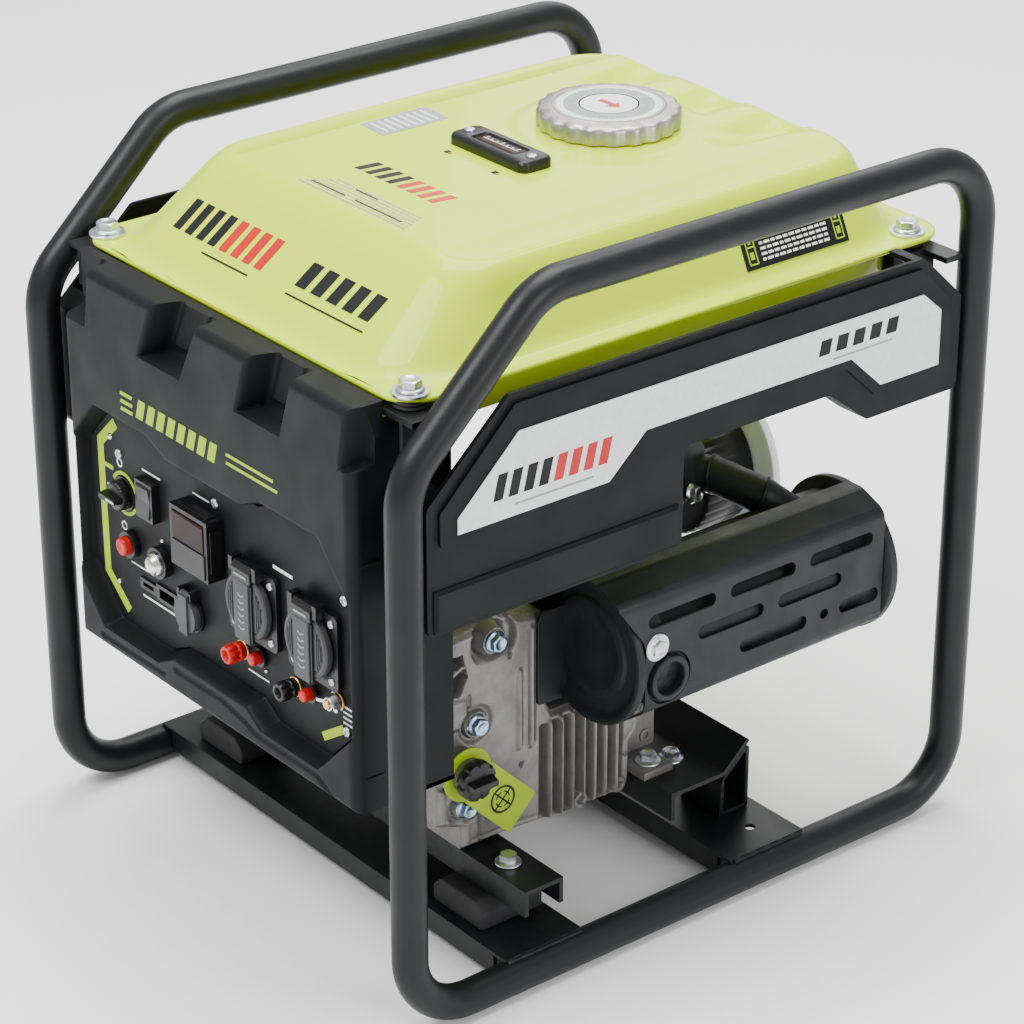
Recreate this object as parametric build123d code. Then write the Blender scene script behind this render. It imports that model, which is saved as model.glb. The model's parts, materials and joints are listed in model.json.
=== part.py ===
"""Inverter generator in an open tube frame.

+Z is up, the control panel faces -Y and the muffler side is +X.
The origin is on the floor, at the middle of the overall box. Lengths are in millimetres.
"""

from math import cos, radians, sin
import os

from build123d import *

os.makedirs("parts", exist_ok=True)

# Frame
TUBE_R = 11.0
HOOP_X = 188.2
HOOP_Y = 223.45
TUBE_FLAT = 0.2
HOOP_BOTTOM_Z = TUBE_R - TUBE_FLAT
HOOP_TOP_Z = 458.9
HOOP_SLANT_Y = -127.1
HOOP_SLANT_Z = 366.9
BEND_R = 44.0
PLATE_T = 2.5
PLATE_Z = HOOP_BOTTOM_Z + TUBE_R
FRONT_PLATE_Y = (-151.0, -91.0)
REAR_PLATE_Y = (32.0, 95.0)
PLATE_FLANGE = 16.0
FRONT_RAIL_Z = 62.0
REAR_RAIL_Z = 70.0
RAIL_T = 3.0
FOOT_HOLE = (165.0, 70.0)
FOOT_HOLE_R = 3.5

# Tank
TANK_FLANGE_Z = 400.0
TANK_TOP_Z = 455.0
SHEET_T = 2.0
TANK_BOLTS = [(155.7, -192.8), (-155.7, -192.8), (154.0, 196.7), (-154.0, 196.7)]
CAP_XY = (0.0, 83.0)
CAP_R = 46.0
NECK_R = 33.0
BOLT_HOLE_R = 4.2
BRACKET_IN_X = 141.0
BRACKET_Y = (181.0, 208.0)
BRACKET_ARM_Y = (198.0, 212.4)
GUSSET_X = (165.0, 168.0)
GUSSET_DROP = 22.0
PAN_SIZE = (290.0, 392.0)
PAN_R = 50.0
PAN_BOTTOM_Z = 374.0

# Side covers and front panel
COVER_X = 193.0
COVER_T = 3.0
COVER_TOP_Z = 402.5
PANEL_X = 151.0
PANEL_Z = (139.0, 400.0)
PANEL_Y = -232.5
PANEL_T = 3.0
RECESS_Y = -218.0
PLATE_FRONT_Y = -220.0

# Engine
CRANK_Y = -60.0
CRANK_Z = 150.0
CYLINDER_TILT = 33.0
MUFFLER_X = 148.0
MUFFLER_Z = 191.0
MUFFLER_R = 43.5
FIT = 0.05
GAP = 0.3


def outline(points, radius=0.0, inset=0.0):
    """Flat face inside a closed outline, with rounded corners and an optional inset."""
    if radius:
        edges = FilletPolyline(*points, radius=radius, close=True).edges()
    else:
        edges = Polyline(*points, close=True).edges()
    face = make_face(edges)
    if inset:
        face = offset(face, amount=-inset, kind=Kind.INTERSECTION)
    return face


def along(axis, face, lo, hi):
    """Face extruded along X, Y or Z; it is drawn as (y, z), (x, z) or (x, y)."""
    if axis == "x":
        return extrude(Plane.YZ.offset(lo) * face, hi - lo)
    if axis == "y":
        return extrude(Plane.XZ.offset(-hi) * face, hi - lo)
    return extrude(Plane.XY.offset(lo) * face, hi - lo)


def prism(axis, points, lo, hi, radius=0.0, inset=0.0):
    return along(axis, outline(points, radius, inset), lo, hi)


def block(x_range, y_range, z_range):
    limits = (x_range, y_range, z_range)
    middle = [(lo + hi) / 2 for lo, hi in limits]
    size = [hi - lo for lo, hi in limits]
    return Pos(*middle) * Box(*size)


def rod(axis, radius, lo, hi, a, b):
    """Cylinder along X, Y or Z through (y, z), (x, z) or (x, y)."""
    return along(axis, Pos(a, b) * Circle(radius), lo, hi)


def tube(axis, outer, inner, lo, hi, a, b):
    return rod(axis, outer, lo, hi, a, b) - rod(axis, inner, lo, hi, a, b)


def turned(axis, profile, a, b):
    """Solid of revolution from (radius, place along the axis) points."""
    solid = revolve(make_face(Polyline(*profile, close=True).edges()), Axis.Y)
    if axis == "x":
        return Pos(0, a, b) * Rot(0, 0, -90) * solid
    if axis == "y":
        return Pos(a, 0, b) * solid
    return Pos(a, b, 0) * Rot(90, 0, 0) * solid


def strip(axis, points, radius, thickness, lo, hi):
    """Bent sheet of one thickness along a rounded open line."""
    line = FilletPolyline(*points, radius=radius)
    return along(axis, trace(line, line_width=thickness), lo, hi)


def both_sides(shape):
    """The shape and its mirror image in the plane x = 0."""
    return [shape, mirror(shape, about=Plane.YZ)]


def group(solids):
    return Compound([solid for item in solids for solid in item.solids()])


def hex_bolt(at, direction, shank_r=3.0, shank=8.0, flats=10.0, head=5.0, flange_r=8.5):
    """Flange bolt whose flange lies on the point, with the head along the direction."""
    plane = Plane(origin=at, z_dir=direction)
    flange_t = 1.5
    bolt = extrude(plane * Circle(flange_r), flange_t)
    bolt += extrude(plane.offset(flange_t) * RegularPolygon(flats / 2, 6, major_radius=False), head)
    return bolt + extrude(plane * Circle(shank_r), -shank)


def drill(at, direction, radius, depth):
    """Cylinder that goes from the point against the direction."""
    return extrude(Plane(origin=at, z_dir=direction) * Circle(radius), -depth)


def pan_screw(x, z, y, radius=3.2, head=1.8, shank=4.0):
    """Small screw whose head stands on the plane y and faces -Y."""
    return rod("y", radius, y - head, y, x, z) + rod("y", radius / 2, y, y + shank, x, z)


parts = {}

# ---------------------------------------------------------------- tube frame
hoop_corners = [
    (0, HOOP_BOTTOM_Z),
    (HOOP_Y, HOOP_BOTTOM_Z),
    (HOOP_Y, HOOP_TOP_Z),
    (HOOP_SLANT_Y, HOOP_TOP_Z),
    (-HOOP_Y, HOOP_SLANT_Z),
    (-HOOP_Y, HOOP_BOTTOM_Z),
]


def hoop(x):
    """Closed loop of bent tube, as two swept halves, with a narrow flat where it stands on the floor."""
    rear_half = hoop_corners[:3] + [(0, HOOP_TOP_Z)]
    front_half = hoop_corners[:1] + hoop_corners[:2:-1] + [(0, HOOP_TOP_Z)]
    solid = None
    for corners in (rear_half, front_half):
        path = Plane.YZ.offset(x) * FilletPolyline(*corners, radius=BEND_R)
        section = Plane(origin=path @ 0, z_dir=path % 0) * Circle(TUBE_R)
        half = sweep(section, path=path)
        solid = half if solid is None else solid + half
    below = block((x - TUBE_R, x + TUBE_R), (-HOOP_Y, HOOP_Y), (-1, 0))
    return solid - below


parts["right_hoop"] = hoop(HOOP_X)
parts["left_hoop"] = hoop(-HOOP_X)

flange_end_x = HOOP_X - TUBE_R - 1.0


def cross_plate(y_range, lips):
    """Channel plate that lies on both bottom tubes, its flanges ending inside them."""
    top = PLATE_Z + PLATE_T
    plate = block((-HOOP_X, HOOP_X), y_range, (PLATE_Z, top))
    for y, drop in lips:
        plate += block((-flange_end_x, flange_end_x), (y, y + PLATE_T), (top - drop, top))
    return plate


front_lips = [(FRONT_PLATE_Y[0], PLATE_FLANGE), (FRONT_PLATE_Y[1] - PLATE_T, PLATE_FLANGE)]
parts["front_cross_plate"] = cross_plate(FRONT_PLATE_Y, front_lips)
rear_lips = [(REAR_PLATE_Y[0], PLATE_FLANGE), (REAR_PLATE_Y[1] - PLATE_T, PLATE_FLANGE)]
rear_plate = cross_plate(REAR_PLATE_Y, rear_lips)
for side in (-1, 1):
    rear_plate -= rod("z", FOOT_HOLE_R, 0, 40, side * FOOT_HOLE[0], FOOT_HOLE[1])
rib = block((-90, 90), (43, 49), (PLATE_Z + PLATE_T, PLATE_Z + PLATE_T + 1.5))
parts["rear_cross_plate"] = rear_plate + rib

# Rubber mounts stand on the plates; the rails lie on them.
plate_top = PLATE_Z + PLATE_T
front_mount_x = (105.0, 155.0)
rear_mount_x = (100.0, 150.0)
front_rail_y = (-131.0, -101.0)
front_mount = prism(
    "y",
    [
        (front_mount_x[0], plate_top),
        (front_mount_x[1], plate_top),
        (front_mount_x[1], 36),
        (front_mount_x[1] - 8, 43),
        (front_mount_x[0] + 8, 43),
        (front_mount_x[0], 36),
    ],
    -143,
    -95,
)
front_mount += block((115, 158), (-126, -106), (43, FRONT_RAIL_Z - RAIL_T))
web_low = (51.2, 67.0)
web_high = (72.0, 85.8)


def under_web(y):
    """Height of the lower face of the rear rail's inclined web."""
    return web_low[1] + (y - web_low[0]) * (web_high[1] - web_low[1]) / (web_high[0] - web_low[0])


rear_mount = prism(
    "x",
    [
        (46, plate_top),
        (91, plate_top),
        (91, 46),
        (79, 74),
        (70, under_web(70)),
        (54, under_web(54)),
        (46, 58),
    ],
    *rear_mount_x,
)
front_bolt_at = (148.0, -117.0, FRONT_RAIL_Z)
rear_bolt_at = (125.0, 35.5, REAR_RAIL_Z)
foot_bolts = [(125.0, 16.0, 75.0), (-60.0, 16.0, 75.0)]
mount_bolt_shank = 10.0
front_mount -= drill(front_bolt_at, (0, 0, 1), 3.2, mount_bolt_shank + 1)
parts["rubber_mounts"] = group(both_sides(front_mount) + both_sides(rear_mount))

rail_end_x = 182.0
front_rail = block((-rail_end_x, rail_end_x), front_rail_y, (FRONT_RAIL_Z - RAIL_T, FRONT_RAIL_Z))
front_rail += block((-rail_end_x, rail_end_x), (front_rail_y[0], front_rail_y[0] + RAIL_T), (44,
    FRONT_RAIL_Z))
front_rail += block((-rail_end_x, rail_end_x), (front_rail_y[1] - RAIL_T, front_rail_y[1]), (44,
    FRONT_RAIL_Z))
rear_rail = prism(
    "x",
    [(6, 67), web_low, web_high, (70, 88), (50, 70), (6, 70)],
    -160,
    160,
)
rear_rail += block((-160, 160), (6, 6 + RAIL_T), (50, 70))
for x in (front_bolt_at[0], -front_bolt_at[0]):
    front_rail -= drill((x, *front_bolt_at[1:]), (0, 0, 1), 3.2, 5)
for x in (rear_bolt_at[0], -rear_bolt_at[0]):
    rear_rail -= drill((x, *rear_bolt_at[1:]), (0, 0, 1), 3.2, 5)
for at in foot_bolts:
    rear_rail -= drill(at, (0, 0, 1), 3.2, 12)
parts["front_engine_rail"] = front_rail
parts["rear_engine_rail"] = rear_rail

bolts = []
for side in (-1, 1):
    bolts.append(hex_bolt((side * front_bolt_at[0], *front_bolt_at[1:]), (0, 0, 1), shank=mount_bolt_shank))
    bolts.append(hex_bolt((side * rear_bolt_at[0], *rear_bolt_at[1:]), (0, 0, 1)))
for at in foot_bolts:
    bolts.append(hex_bolt(at, (0, 0, 1), shank=11))
parts["frame_bolts"] = group(bolts)

# ---------------------------------------------------------------- fuel tank
bracket_z = (391.0, 395.0)
tank_brackets = []
for x, y in TANK_BOLTS:
    side = 1 if x > 0 else -1
    edge = 1 if y > 0 else -1
    reach = GUSSET_X[1] if edge > 0 else HOOP_X - TUBE_R
    span_x = sorted((side * BRACKET_IN_X, side * reach))
    span_y = sorted((edge * BRACKET_Y[0], edge * BRACKET_Y[1]))
    bracket = block(span_x, span_y, bracket_z)
    if edge > 0:
        arm_x = sorted((side * BRACKET_IN_X, side * HOOP_X))
        bracket += block(arm_x, BRACKET_ARM_Y, bracket_z)
    gusset = [(edge * BRACKET_Y[0], bracket_z[0]), (edge * BRACKET_Y[1], bracket_z[0])]
    gusset.append((edge * BRACKET_Y[1], bracket_z[0] - GUSSET_DROP))
    bracket += prism("x", gusset, *sorted((side * GUSSET_X[0], side * GUSSET_X[1])))
    bracket -= rod("z", BOLT_HOLE_R, 380, TANK_FLANGE_Z, x, y)
    tank_brackets.append(bracket)
parts["tank_brackets"] = group(tank_brackets)

washer_t = 1.8
flange_top = TANK_FLANGE_Z + SHEET_T
tank_bolts = []
grommets = []
for x, y in TANK_BOLTS:
    grommets.append(tube("z", 11.0, BOLT_HOLE_R, bracket_z[1], TANK_FLANGE_Z, x, y))
    bolt = hex_bolt((x, y, flange_top + washer_t), (0, 0, 1), shank_r=4, shank=18, flats=12, head=5.5)
    tank_bolts.append(bolt + tube("z", 11.5, 4.0, flange_top, flange_top + washer_t, x, y))
parts["tank_grommets"] = group(grommets)
parts["tank_bolts"] = group(tank_bolts)


def tank_form(inset, low_z, high_z):
    """Tapered body of the upper shell between two levels."""
    low = Plane.XY.offset(low_z) * Pos(0, 5) * RectangleRounded(316 - 2 * inset, 410 - 2 * inset, 58 - inset)
    high = Plane.XY.offset(high_z) * Pos(0, 23) * RectangleRounded(262 - 2 * inset, 322 - 2 * inset,
        34 - inset)
    return loft([low, high], ruled=True)


outer_form = tank_form(0, flange_top, TANK_TOP_Z)
rim_edges = outer_form.edges().group_by(Axis.Z)[-1]
outer_form = fillet(rim_edges, 14)
flange = along("z", Pos(0, 7.5) * RectangleRounded(336, 429, 24), TANK_FLANGE_Z, flange_top)
cavity = tank_form(SHEET_T, flange_top, TANK_TOP_Z - SHEET_T)
cavity += along("z", Pos(0, 5) * RectangleRounded(312, 406, 56), TANK_FLANGE_Z - 1, flange_top)
ring_r = 60.0
shell = outer_form + flange + rod("z", ring_r, TANK_TOP_Z - 1, TANK_TOP_Z + 1.5, *CAP_XY)
shell -= cavity
shell -= rod("z", NECK_R, 440, 470, *CAP_XY)
for x, y in TANK_BOLTS:
    shell -= rod("z", BOLT_HOLE_R, 390, 410, x, y)
parts["tank_upper_shell"] = shell

pan_face = RectangleRounded(*PAN_SIZE, PAN_R)
pan_hollow = RectangleRounded(PAN_SIZE[0] - 2 * SHEET_T, PAN_SIZE[1] - 2 * SHEET_T, PAN_R - SHEET_T)
pan = along("z", pan_face, PAN_BOTTOM_Z, TANK_FLANGE_Z)
parts["tank_lower_pan"] = pan - along("z", pan_hollow, PAN_BOTTOM_Z + SHEET_T, TANK_FLANGE_Z)

neck = tube("z", NECK_R, NECK_R - 3, 436, 463, *CAP_XY)
parts["filler_neck"] = neck
cap_low = TANK_TOP_Z + 1.5 + GAP
cap_profile = [
    (0, cap_low + 0.2),
    (NECK_R - 3 - 0.4, cap_low + 0.2),
    (NECK_R - 3 - 0.4, 464),
    (CAP_R - 4, 464),
    (CAP_R - 4, cap_low),
    (CAP_R, cap_low),
    (CAP_R, 466),
    (CAP_R - 2.5, 468.3),
    (CAP_R - 12, 469.2),
    (0, 469.6),
]
cap = turned("z", cap_profile, *CAP_XY)
scallops = PolarLocations(CAP_R + 3.6, 24)
for place in scallops:
    cap -= Pos(CAP_XY[0], CAP_XY[1], 460) * place * Cylinder(5, 40)
parts["fuel_cap"] = cap

gauge = block((-37.5, 37.5), (-16.5, 8.5), (TANK_TOP_Z, TANK_TOP_Z + 8))
gauge = fillet(gauge.edges().filter_by(Axis.Z), 6)
gauge = chamfer(gauge.faces().sort_by(Axis.Z)[-1].edges(), 1.5)
parts["fuel_gauge"] = gauge - block((-21, 21), (-11, 3), (TANK_TOP_Z + 6, TANK_TOP_Z + 9))

# ---------------------------------------------------------------- side covers
cover_outline = [
    (-211, 267),
    (-20, 266),
    (-20, 332),
    (98, 332),
    (130, 307),
    (208, 307),
    (208, 370),
    (174, COVER_TOP_Z),
    (-152, COVER_TOP_Z),
    (-211, 348),
]
decal_outline = [
    (-191, 328),
    (-80, 328),
    (-52, 353),
    (112, 353),
    (138, 329),
    (188, 329),
    (188, 366),
    (172, 380),
    (-147, 380),
    (-191, 338),
]
plateau_outline = [
    (-203, 322),
    (-77, 322),
    (-49, 347),
    (109, 347),
    (135, 322.5),
    (198, 322.5),
    (198, 369),
    (171, 397),
    (-149, 397),
    (-203, 344),
]
cover_depth = 23.0
cover_in = COVER_X - cover_depth
cover = prism("x", cover_outline, cover_in, COVER_X, radius=6)
cover -= prism("x", cover_outline, cover_in - 1, COVER_X - COVER_T, radius=6, inset=COVER_T)
cover -= block((cover_in - 1, COVER_X - COVER_T), (-143, 166), (COVER_TOP_Z - 6, COVER_TOP_Z + 1))
cover -= block((cover_in - 1, COVER_X - COVER_T), (-200, -143), (354, COVER_TOP_Z + 1))
beam_x = 196.0
band = block((COVER_X, beam_x), (-207, -24), (269, 296))
band = chamfer(band.faces().sort_by(Axis.X)[-1].edges(), 2)
plateau_x = 195.2
plateau = prism("x", plateau_outline, COVER_X, plateau_x, radius=4)
cover += band + plateau
decal = prism("x", decal_outline, plateau_x, plateau_x + 0.8)
parts["right_side_cover"], parts["left_side_cover"] = both_sides(cover)
parts["decal_plates"] = group(both_sides(decal))

# ---------------------------------------------------------------- front panel
recess_outline = [
    (-118, 305),
    (-62, 305),
    (-40, 296),
    (40, 296),
    (60, 305),
    (115, 305),
    (142, 275),
    (142, 190),
    (110, 158),
    (55, 158),
    (40, 168),
    (-40, 168),
    (-60, 158),
    (-118, 158),
    (-146, 190),
    (-146, 275),
]
ledge_z = 360.0
pocket_y = -214.5
panel_back_y = -209.0
wall_back_y = -160.0
pocket_outlines = [
    [(-160, ledge_z), (-124, ledge_z), (-116, 410), (-160, 410)],
    [(-67, ledge_z), (-20, ledge_z), (5, 410), (-44, 410)],
    [(36, ledge_z), (83, ledge_z), (99, 410), (54, 410)],
    [(140, ledge_z), (160, ledge_z), (160, 410), (148, 410)],
]


def panel_form(inset):
    """Front of the panel with its pockets and control recess, every wall moved inwards."""
    x_range = (-PANEL_X + inset, PANEL_X - inset)
    z_range = (PANEL_Z[0] + inset, PANEL_Z[1] - inset)
    form = block(x_range, (PANEL_Y + inset, panel_back_y + (1 if inset else 0)), z_range)
    corner_edges = form.edges().filter_by(Axis.Z).group_by(Axis.Y)[0]
    form = fillet(corner_edges, 8 - inset)
    for points in pocket_outlines:
        form -= prism("y", points, PANEL_Y - 1, pocket_y + inset, inset=-inset)
    form -= prism("y", recess_outline, PANEL_Y - 1, RECESS_Y + inset, inset=-inset)
    return form


def panel_walls():
    """Side and bottom walls behind the front of the panel."""
    wall_y = (panel_back_y, wall_back_y)
    walls = block((-PANEL_X, PANEL_X), wall_y, (PANEL_Z[0], 388))
    inner_x = PANEL_X - PANEL_T
    return walls - block((-inner_x, inner_x), (panel_back_y - 1, wall_back_y + 1),
        (PANEL_Z[0] + PANEL_T, 400))


# Places of the controls, as (x, z) on the control plate.
knob_at = (-108.0, 249.0)
rocker_at = (-77.0, 257.0)
stop_at = (-101.0, 217.0)
reset_at = (-66.0, 218.0)
breaker_at = (-17.0, 253.5)
usb_at = (-83.5, 193.5)
dc_port_at = (-62.5, 194.0)
dc_socket_at = (-34.0, 195.0)
ac_at = {"inner": (36.5, 231.0), "outer": (98.0, 231.0)}
post_at = {"red": (20.0, 192.0), "black": (75.0, 190.0)}
dc_breaker_at = {"red": (39.0, 195.0), "dark": (92.0, 193.0)}
ground_at = (118.0, 199.0)
plate_screws = [(-112, 275), (-5, 281), (126, 181), (126, 268)]
PLATE_BACK_Y = RECESS_Y + PANEL_T

hole_r = {knob_at: 5.2, stop_at: 6.2, reset_at: 8.0, dc_socket_at: 10.2, ground_at: 3.2}
hole_r.update({at: 20.7 for at in ac_at.values()})
hole_r.update({at: 3.2 for at in post_at.values()})
hole_r.update({at: 4.2 for at in dc_breaker_at.values()})
openings = [rod("y", r, -240, PLATE_BACK_Y + 1, x, z) for (x, z), r in hole_r.items()]
for (x, z), wide, tall in [(rocker_at, 15, 22), (usb_at, 15, 6), (dc_port_at, 20, 10), (breaker_at, 32, 34)]:
    openings.append(block((x - wide / 2, x + wide / 2), (-240, PLATE_BACK_Y + 1), (z - tall / 2,
        z + tall / 2)))
for x, z in plate_screws:
    openings.append(rod("y", 1.8, -240, PLATE_BACK_Y + 1, x, z))

panel = panel_form(0) - panel_form(PANEL_T) + panel_walls()
raised_inset = 8.0
raised_t = 1.5
for points in pocket_outlines[1:3]:
    top_points = [(x, min(z, PANEL_Z[1] + raised_inset)) for x, z in points]
    raised = prism("y", top_points, pocket_y - raised_t, pocket_y, inset=raised_inset)
    panel += raised & block((-PANEL_X, PANEL_X), (PANEL_Y, 0), (ledge_z, PANEL_Z[1] - 4))
for cut in openings:
    panel -= cut
parts["front_panel"] = panel
control = prism("y", recess_outline, PLATE_FRONT_Y, RECESS_Y, inset=0.4)
for cut in openings:
    control -= cut
parts["control_plate"] = control

# AC sockets with flip covers, hinged at the top
socket_half = 25.0
flange_y = PLATE_FRONT_Y - 4.0
ear_x = (10.0, 14.0)
hinge_y = flange_y - 4.0
hinge_up = 26.0
pin_r = 1.5
sockets = []
screws = [pan_screw(x, z, PLATE_FRONT_Y, radius=3.4) for x, z in plate_screws]
screw_out = 19.0
for name, (x, z) in ac_at.items():
    face = Pos(x, z) * RectangleRounded(2 * socket_half, 2 * socket_half, 4)
    socket = along("y", face, flange_y, PLATE_FRONT_Y) + rod("y", 20.5, PLATE_FRONT_Y, -196, x, z)
    socket -= rod("y", 18.5, flange_y - 1, -208, x, z)
    for side in (-1, 1):
        ear = sorted((x + side * ear_x[0], x + side * ear_x[1]))
        socket += block(ear, (hinge_y - 3, flange_y), (z + 21, z + hinge_up + 4))
        for updown in (-1, 1):
            at = (x + side * screw_out, z + updown * screw_out)
            socket -= rod("y", 1.8, flange_y - 1, PLATE_FRONT_Y, *at)
            screws.append(pan_screw(*at, flange_y, radius=2.6, head=1.2, shank=3.5))
    socket += rod("x", pin_r, x - ear_x[0], x + ear_x[0], hinge_y, z + hinge_up)
    sockets.append(socket)
    lid = rod("y", 22.0, hinge_y - 2, flange_y - 0.4, x, z)
    for offset_x in (-16, -13, 13, 16):
        lid += block((x + offset_x - 0.7, x + offset_x + 0.7), (hinge_y - 3, hinge_y - 2), (z - 12, z + 12))
    lid += block((x - 9.5, x + 9.5), (hinge_y - 4.5, hinge_y - 2), (z - 24, z + 22))
    lid += block((x - 9.5, x + 9.5), (hinge_y - 3, hinge_y), (z + 18, z + hinge_up))
    lid += rod("x", 3.0, x - 9.5, x + 9.5, hinge_y, z + hinge_up)
    lid -= rod("x", pin_r + FIT, x - 12, x + 12, hinge_y, z + hinge_up)
    lid -= block((x - 30, x + 30), (flange_y - 0.4, flange_y + 9), (z - 30, z + 40))
    parts["ac_cover_" + name] = lid
parts["ac_sockets"] = group(sockets)

# 12 V outlet with its flip cover, and two small charging ports
x, z = dc_socket_at
dc_flange_y = PLATE_FRONT_Y - 2.5
dc_hinge_up = 14.5
dc_hinge_y = dc_flange_y - 3.0
dc_socket = rod("y", 12.5, dc_flange_y, PLATE_FRONT_Y, x, z) + rod("y", 10.0, PLATE_FRONT_Y, -200, x, z)
dc_socket -= rod("y", 8.0, dc_flange_y - 1, -205, x, z)
for side in (-1, 1):
    ear = sorted((x + side * 5, x + side * 7.5))
    dc_socket += block(ear, (dc_hinge_y - 2, PLATE_FRONT_Y), (z + 12, z + dc_hinge_up + 3))
dc_socket += rod("x", 1.0, x - 5, x + 5, dc_hinge_y, z + dc_hinge_up)
dc_lid = rod("y", 11.5, dc_hinge_y - 2, dc_flange_y - GAP, x, z)
dc_lid += block((x - 4.5, x + 4.5), (dc_hinge_y - 3.5, dc_hinge_y - 0.5), (z - 12, z + dc_hinge_up))
dc_lid += rod("x", 2.0, x - 4.5, x + 4.5, dc_hinge_y, z + dc_hinge_up)
dc_lid -= rod("x", 1.0 + FIT, x - 6, x + 6, dc_hinge_y, z + dc_hinge_up)
parts["dc_cover"] = dc_lid
outlets = [dc_socket]
port_wall = 1.5
for (x, z), wide, tall in [(usb_at, 14.6, 5.6), (dc_port_at, 19.6, 9.6)]:
    port = block((x - wide / 2 - 2, x + wide / 2 + 2), (-221.5, -220), (z - tall / 2 - 1, z + tall / 2 + 1))
    port += block((x - wide / 2, x + wide / 2), (-220, -206), (z - tall / 2, z + tall / 2))
    mouth_x = (x - wide / 2 + port_wall, x + wide / 2 - port_wall)
    mouth_z = (z - tall / 2 + port_wall, z + tall / 2 - port_wall)
    outlets.append(port - block(mouth_x, (-223, -208), mouth_z))
parts["dc_outlets"] = group(outlets)

# Circuit breaker behind a smoked window, hinged at its top edge
x, z = breaker_at
housing = block((x - 20, x + 20), (-233, PLATE_FRONT_Y), (z - 20.5, z + 20.5))
housing -= block((x - 17, x + 17), (-234, -222), (z - 1.5, z + 17.5))
housing += block((x - 15.5, x + 15.5), (PLATE_FRONT_Y, -200), (z - 16.5, z + 16.5))
lever_y = -223.5
lever_z = z + 7.0
housing -= rod("x", 4.4, x - 12.3, x + 12.3, lever_y, lever_z)
parts["breaker_housing"] = housing
lever = rod("x", 4.0, x - 12, x + 12, lever_y, lever_z)
lever_tip_y = -229.5
tab_points = [
    (lever_y, lever_z - 3),
    (lever_tip_y, lever_z - 1.6),
    (lever_tip_y, lever_z + 1.6),
    (lever_y, lever_z + 3),
]
lever += prism("x", tab_points, x - 9, x + 9)
parts["breaker_lever"] = lever
window_y = (-233.6, -231.6)
window_hinge = (-232.2, z + 15.3)
window = block((x - 16.6, x + 16.6), window_y, (z - 1.2, z + 15.3))
window += rod("x", 1.4, x - 16.6, x + 16.6, *window_hinge)
parts["breaker_window"] = window

# Selector knob, rocker, buttons and their bezels
x, z = knob_at
knob = rod("y", 10.0, -228, -221.5, x, z)
grip_points = [(x - 9.6, z - 2.6), (x + 9.6, z - 2.6), (x + 9.6, z + 2.6), (x - 9.6, z + 2.6)]
knob += prism("y", grip_points, -234, -228)
knob += rod("y", 5.0, -221.5, -205, x, z)
parts["selector_knob"] = knob
bezels = [tube("y", 11.5, 5.2, -221, PLATE_FRONT_Y, x, z)]

x, z = rocker_at
bezel = block((x - 9.5, x + 9.5), (-226, PLATE_FRONT_Y), (z - 13, z + 13))
bezel += block((x - 7.3, x + 7.3), (PLATE_FRONT_Y, -208), (z - 10.8, z + 10.8))
bezel -= block((x - 7.2, x + 7.2), (-227, -214), (z - 10.6, z + 10.6))
rocker_pivot = (-221.0, z)
bezel += rod("x", 1.2, x - 7.2, x + 7.2, *rocker_pivot)
bezels.append(bezel)
paddle_half = 9.6
paddle_points = [
    (-227.4, z - paddle_half),
    (-226, z),
    (-227.4, z + paddle_half),
    (-221.5, z + paddle_half),
    (-218.5, z + 4),
    (-218.5, z - 4),
    (-221.5, z - paddle_half),
]
paddle = prism("x", paddle_points, x - 6.9, x + 6.9)
parts["rocker_paddle"] = paddle - rod("x", 1.2 + FIT, x - 8, x + 8, *rocker_pivot)

x, z = stop_at
bezels.append(tube("y", 9.0, 6.2, -225, PLATE_FRONT_Y, x, z))
stop = turned("y", [(0, -230), (4.5, -230), (6.0, -228.5), (6.0, -214), (0, -214)], x, z)
parts["stop_button"] = stop
x, z = reset_at
bezels.append(tube("y", 10.5, 8.0, -226, PLATE_FRONT_Y, x, z))
dome = [(0, -233.5), (3, -233), (5.6, -231.2), (7.4, -228), (7.7, -224), (7.7, -214), (0, -214)]
parts["reset_button"] = turned("y", dome, x, z)
for x, z in dc_breaker_at.values():
    bezels.append(tube("y", 6.5, 4.2, -223, PLATE_FRONT_Y, x, z))
parts["control_bezels"] = group(bezels)
for name, (x, z) in dc_breaker_at.items():
    parts["dc_breaker_" + name] = turned("y", [(0, -229), (3.2, -229), (4.0, -228), (4.0, -214), (0,
        -214)], x, z)

# Terminals
studs = []
for x, z in list(post_at.values()) + [ground_at]:
    studs.append(rod("y", 3.0, -230, -206, x, z) + rod("y", 6.5, -222, PLATE_FRONT_Y, x, z))
parts["terminal_studs"] = group(studs)
for name, (x, z) in post_at.items():
    post = rod("y", 6.2, -234.2, -222.4, x, z)
    for place in PolarLocations(6.6, 8):
        post -= Pos(x, -228, z) * Rot(90, 0, 0) * place * Cylinder(1.1, 20)
    parts["post_knob_" + name] = post - rod("y", 3.0 + FIT, -231, -222, x, z)
x, z = ground_at
nut = rod("y", 5.5, -228.5, -222.4, x, z) + block((x - 11, x + 11), (-230, -225.6), (z - 1.3, z + 1.3))
parts["ground_nut"] = nut - rod("y", 3.0 + FIT, -232, -222, x, z)

for x in (-30.5, 30.5):
    screws.append(Pos(x, -4, TANK_TOP_Z + 8) * Cylinder(3, 1.6, align=(Align.CENTER, Align.CENTER,
        Align.MIN)))
parts["panel_screws"] = group(screws)

# Inverter module across the back of the panel
module = block((-PANEL_X + PANEL_T, PANEL_X - PANEL_T), (-190, -164), (170, 345))
for step in range(14):
    fin_x = -130 + step * 20
    module += block((fin_x - 1.5, fin_x + 1.5), (-164, -156), (175, 340))
parts["inverter_module"] = module

# ---------------------------------------------------------------- engine
lean = radians(CYLINDER_TILT)
deck_distance = 78.0
deck_half = 42.0


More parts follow.
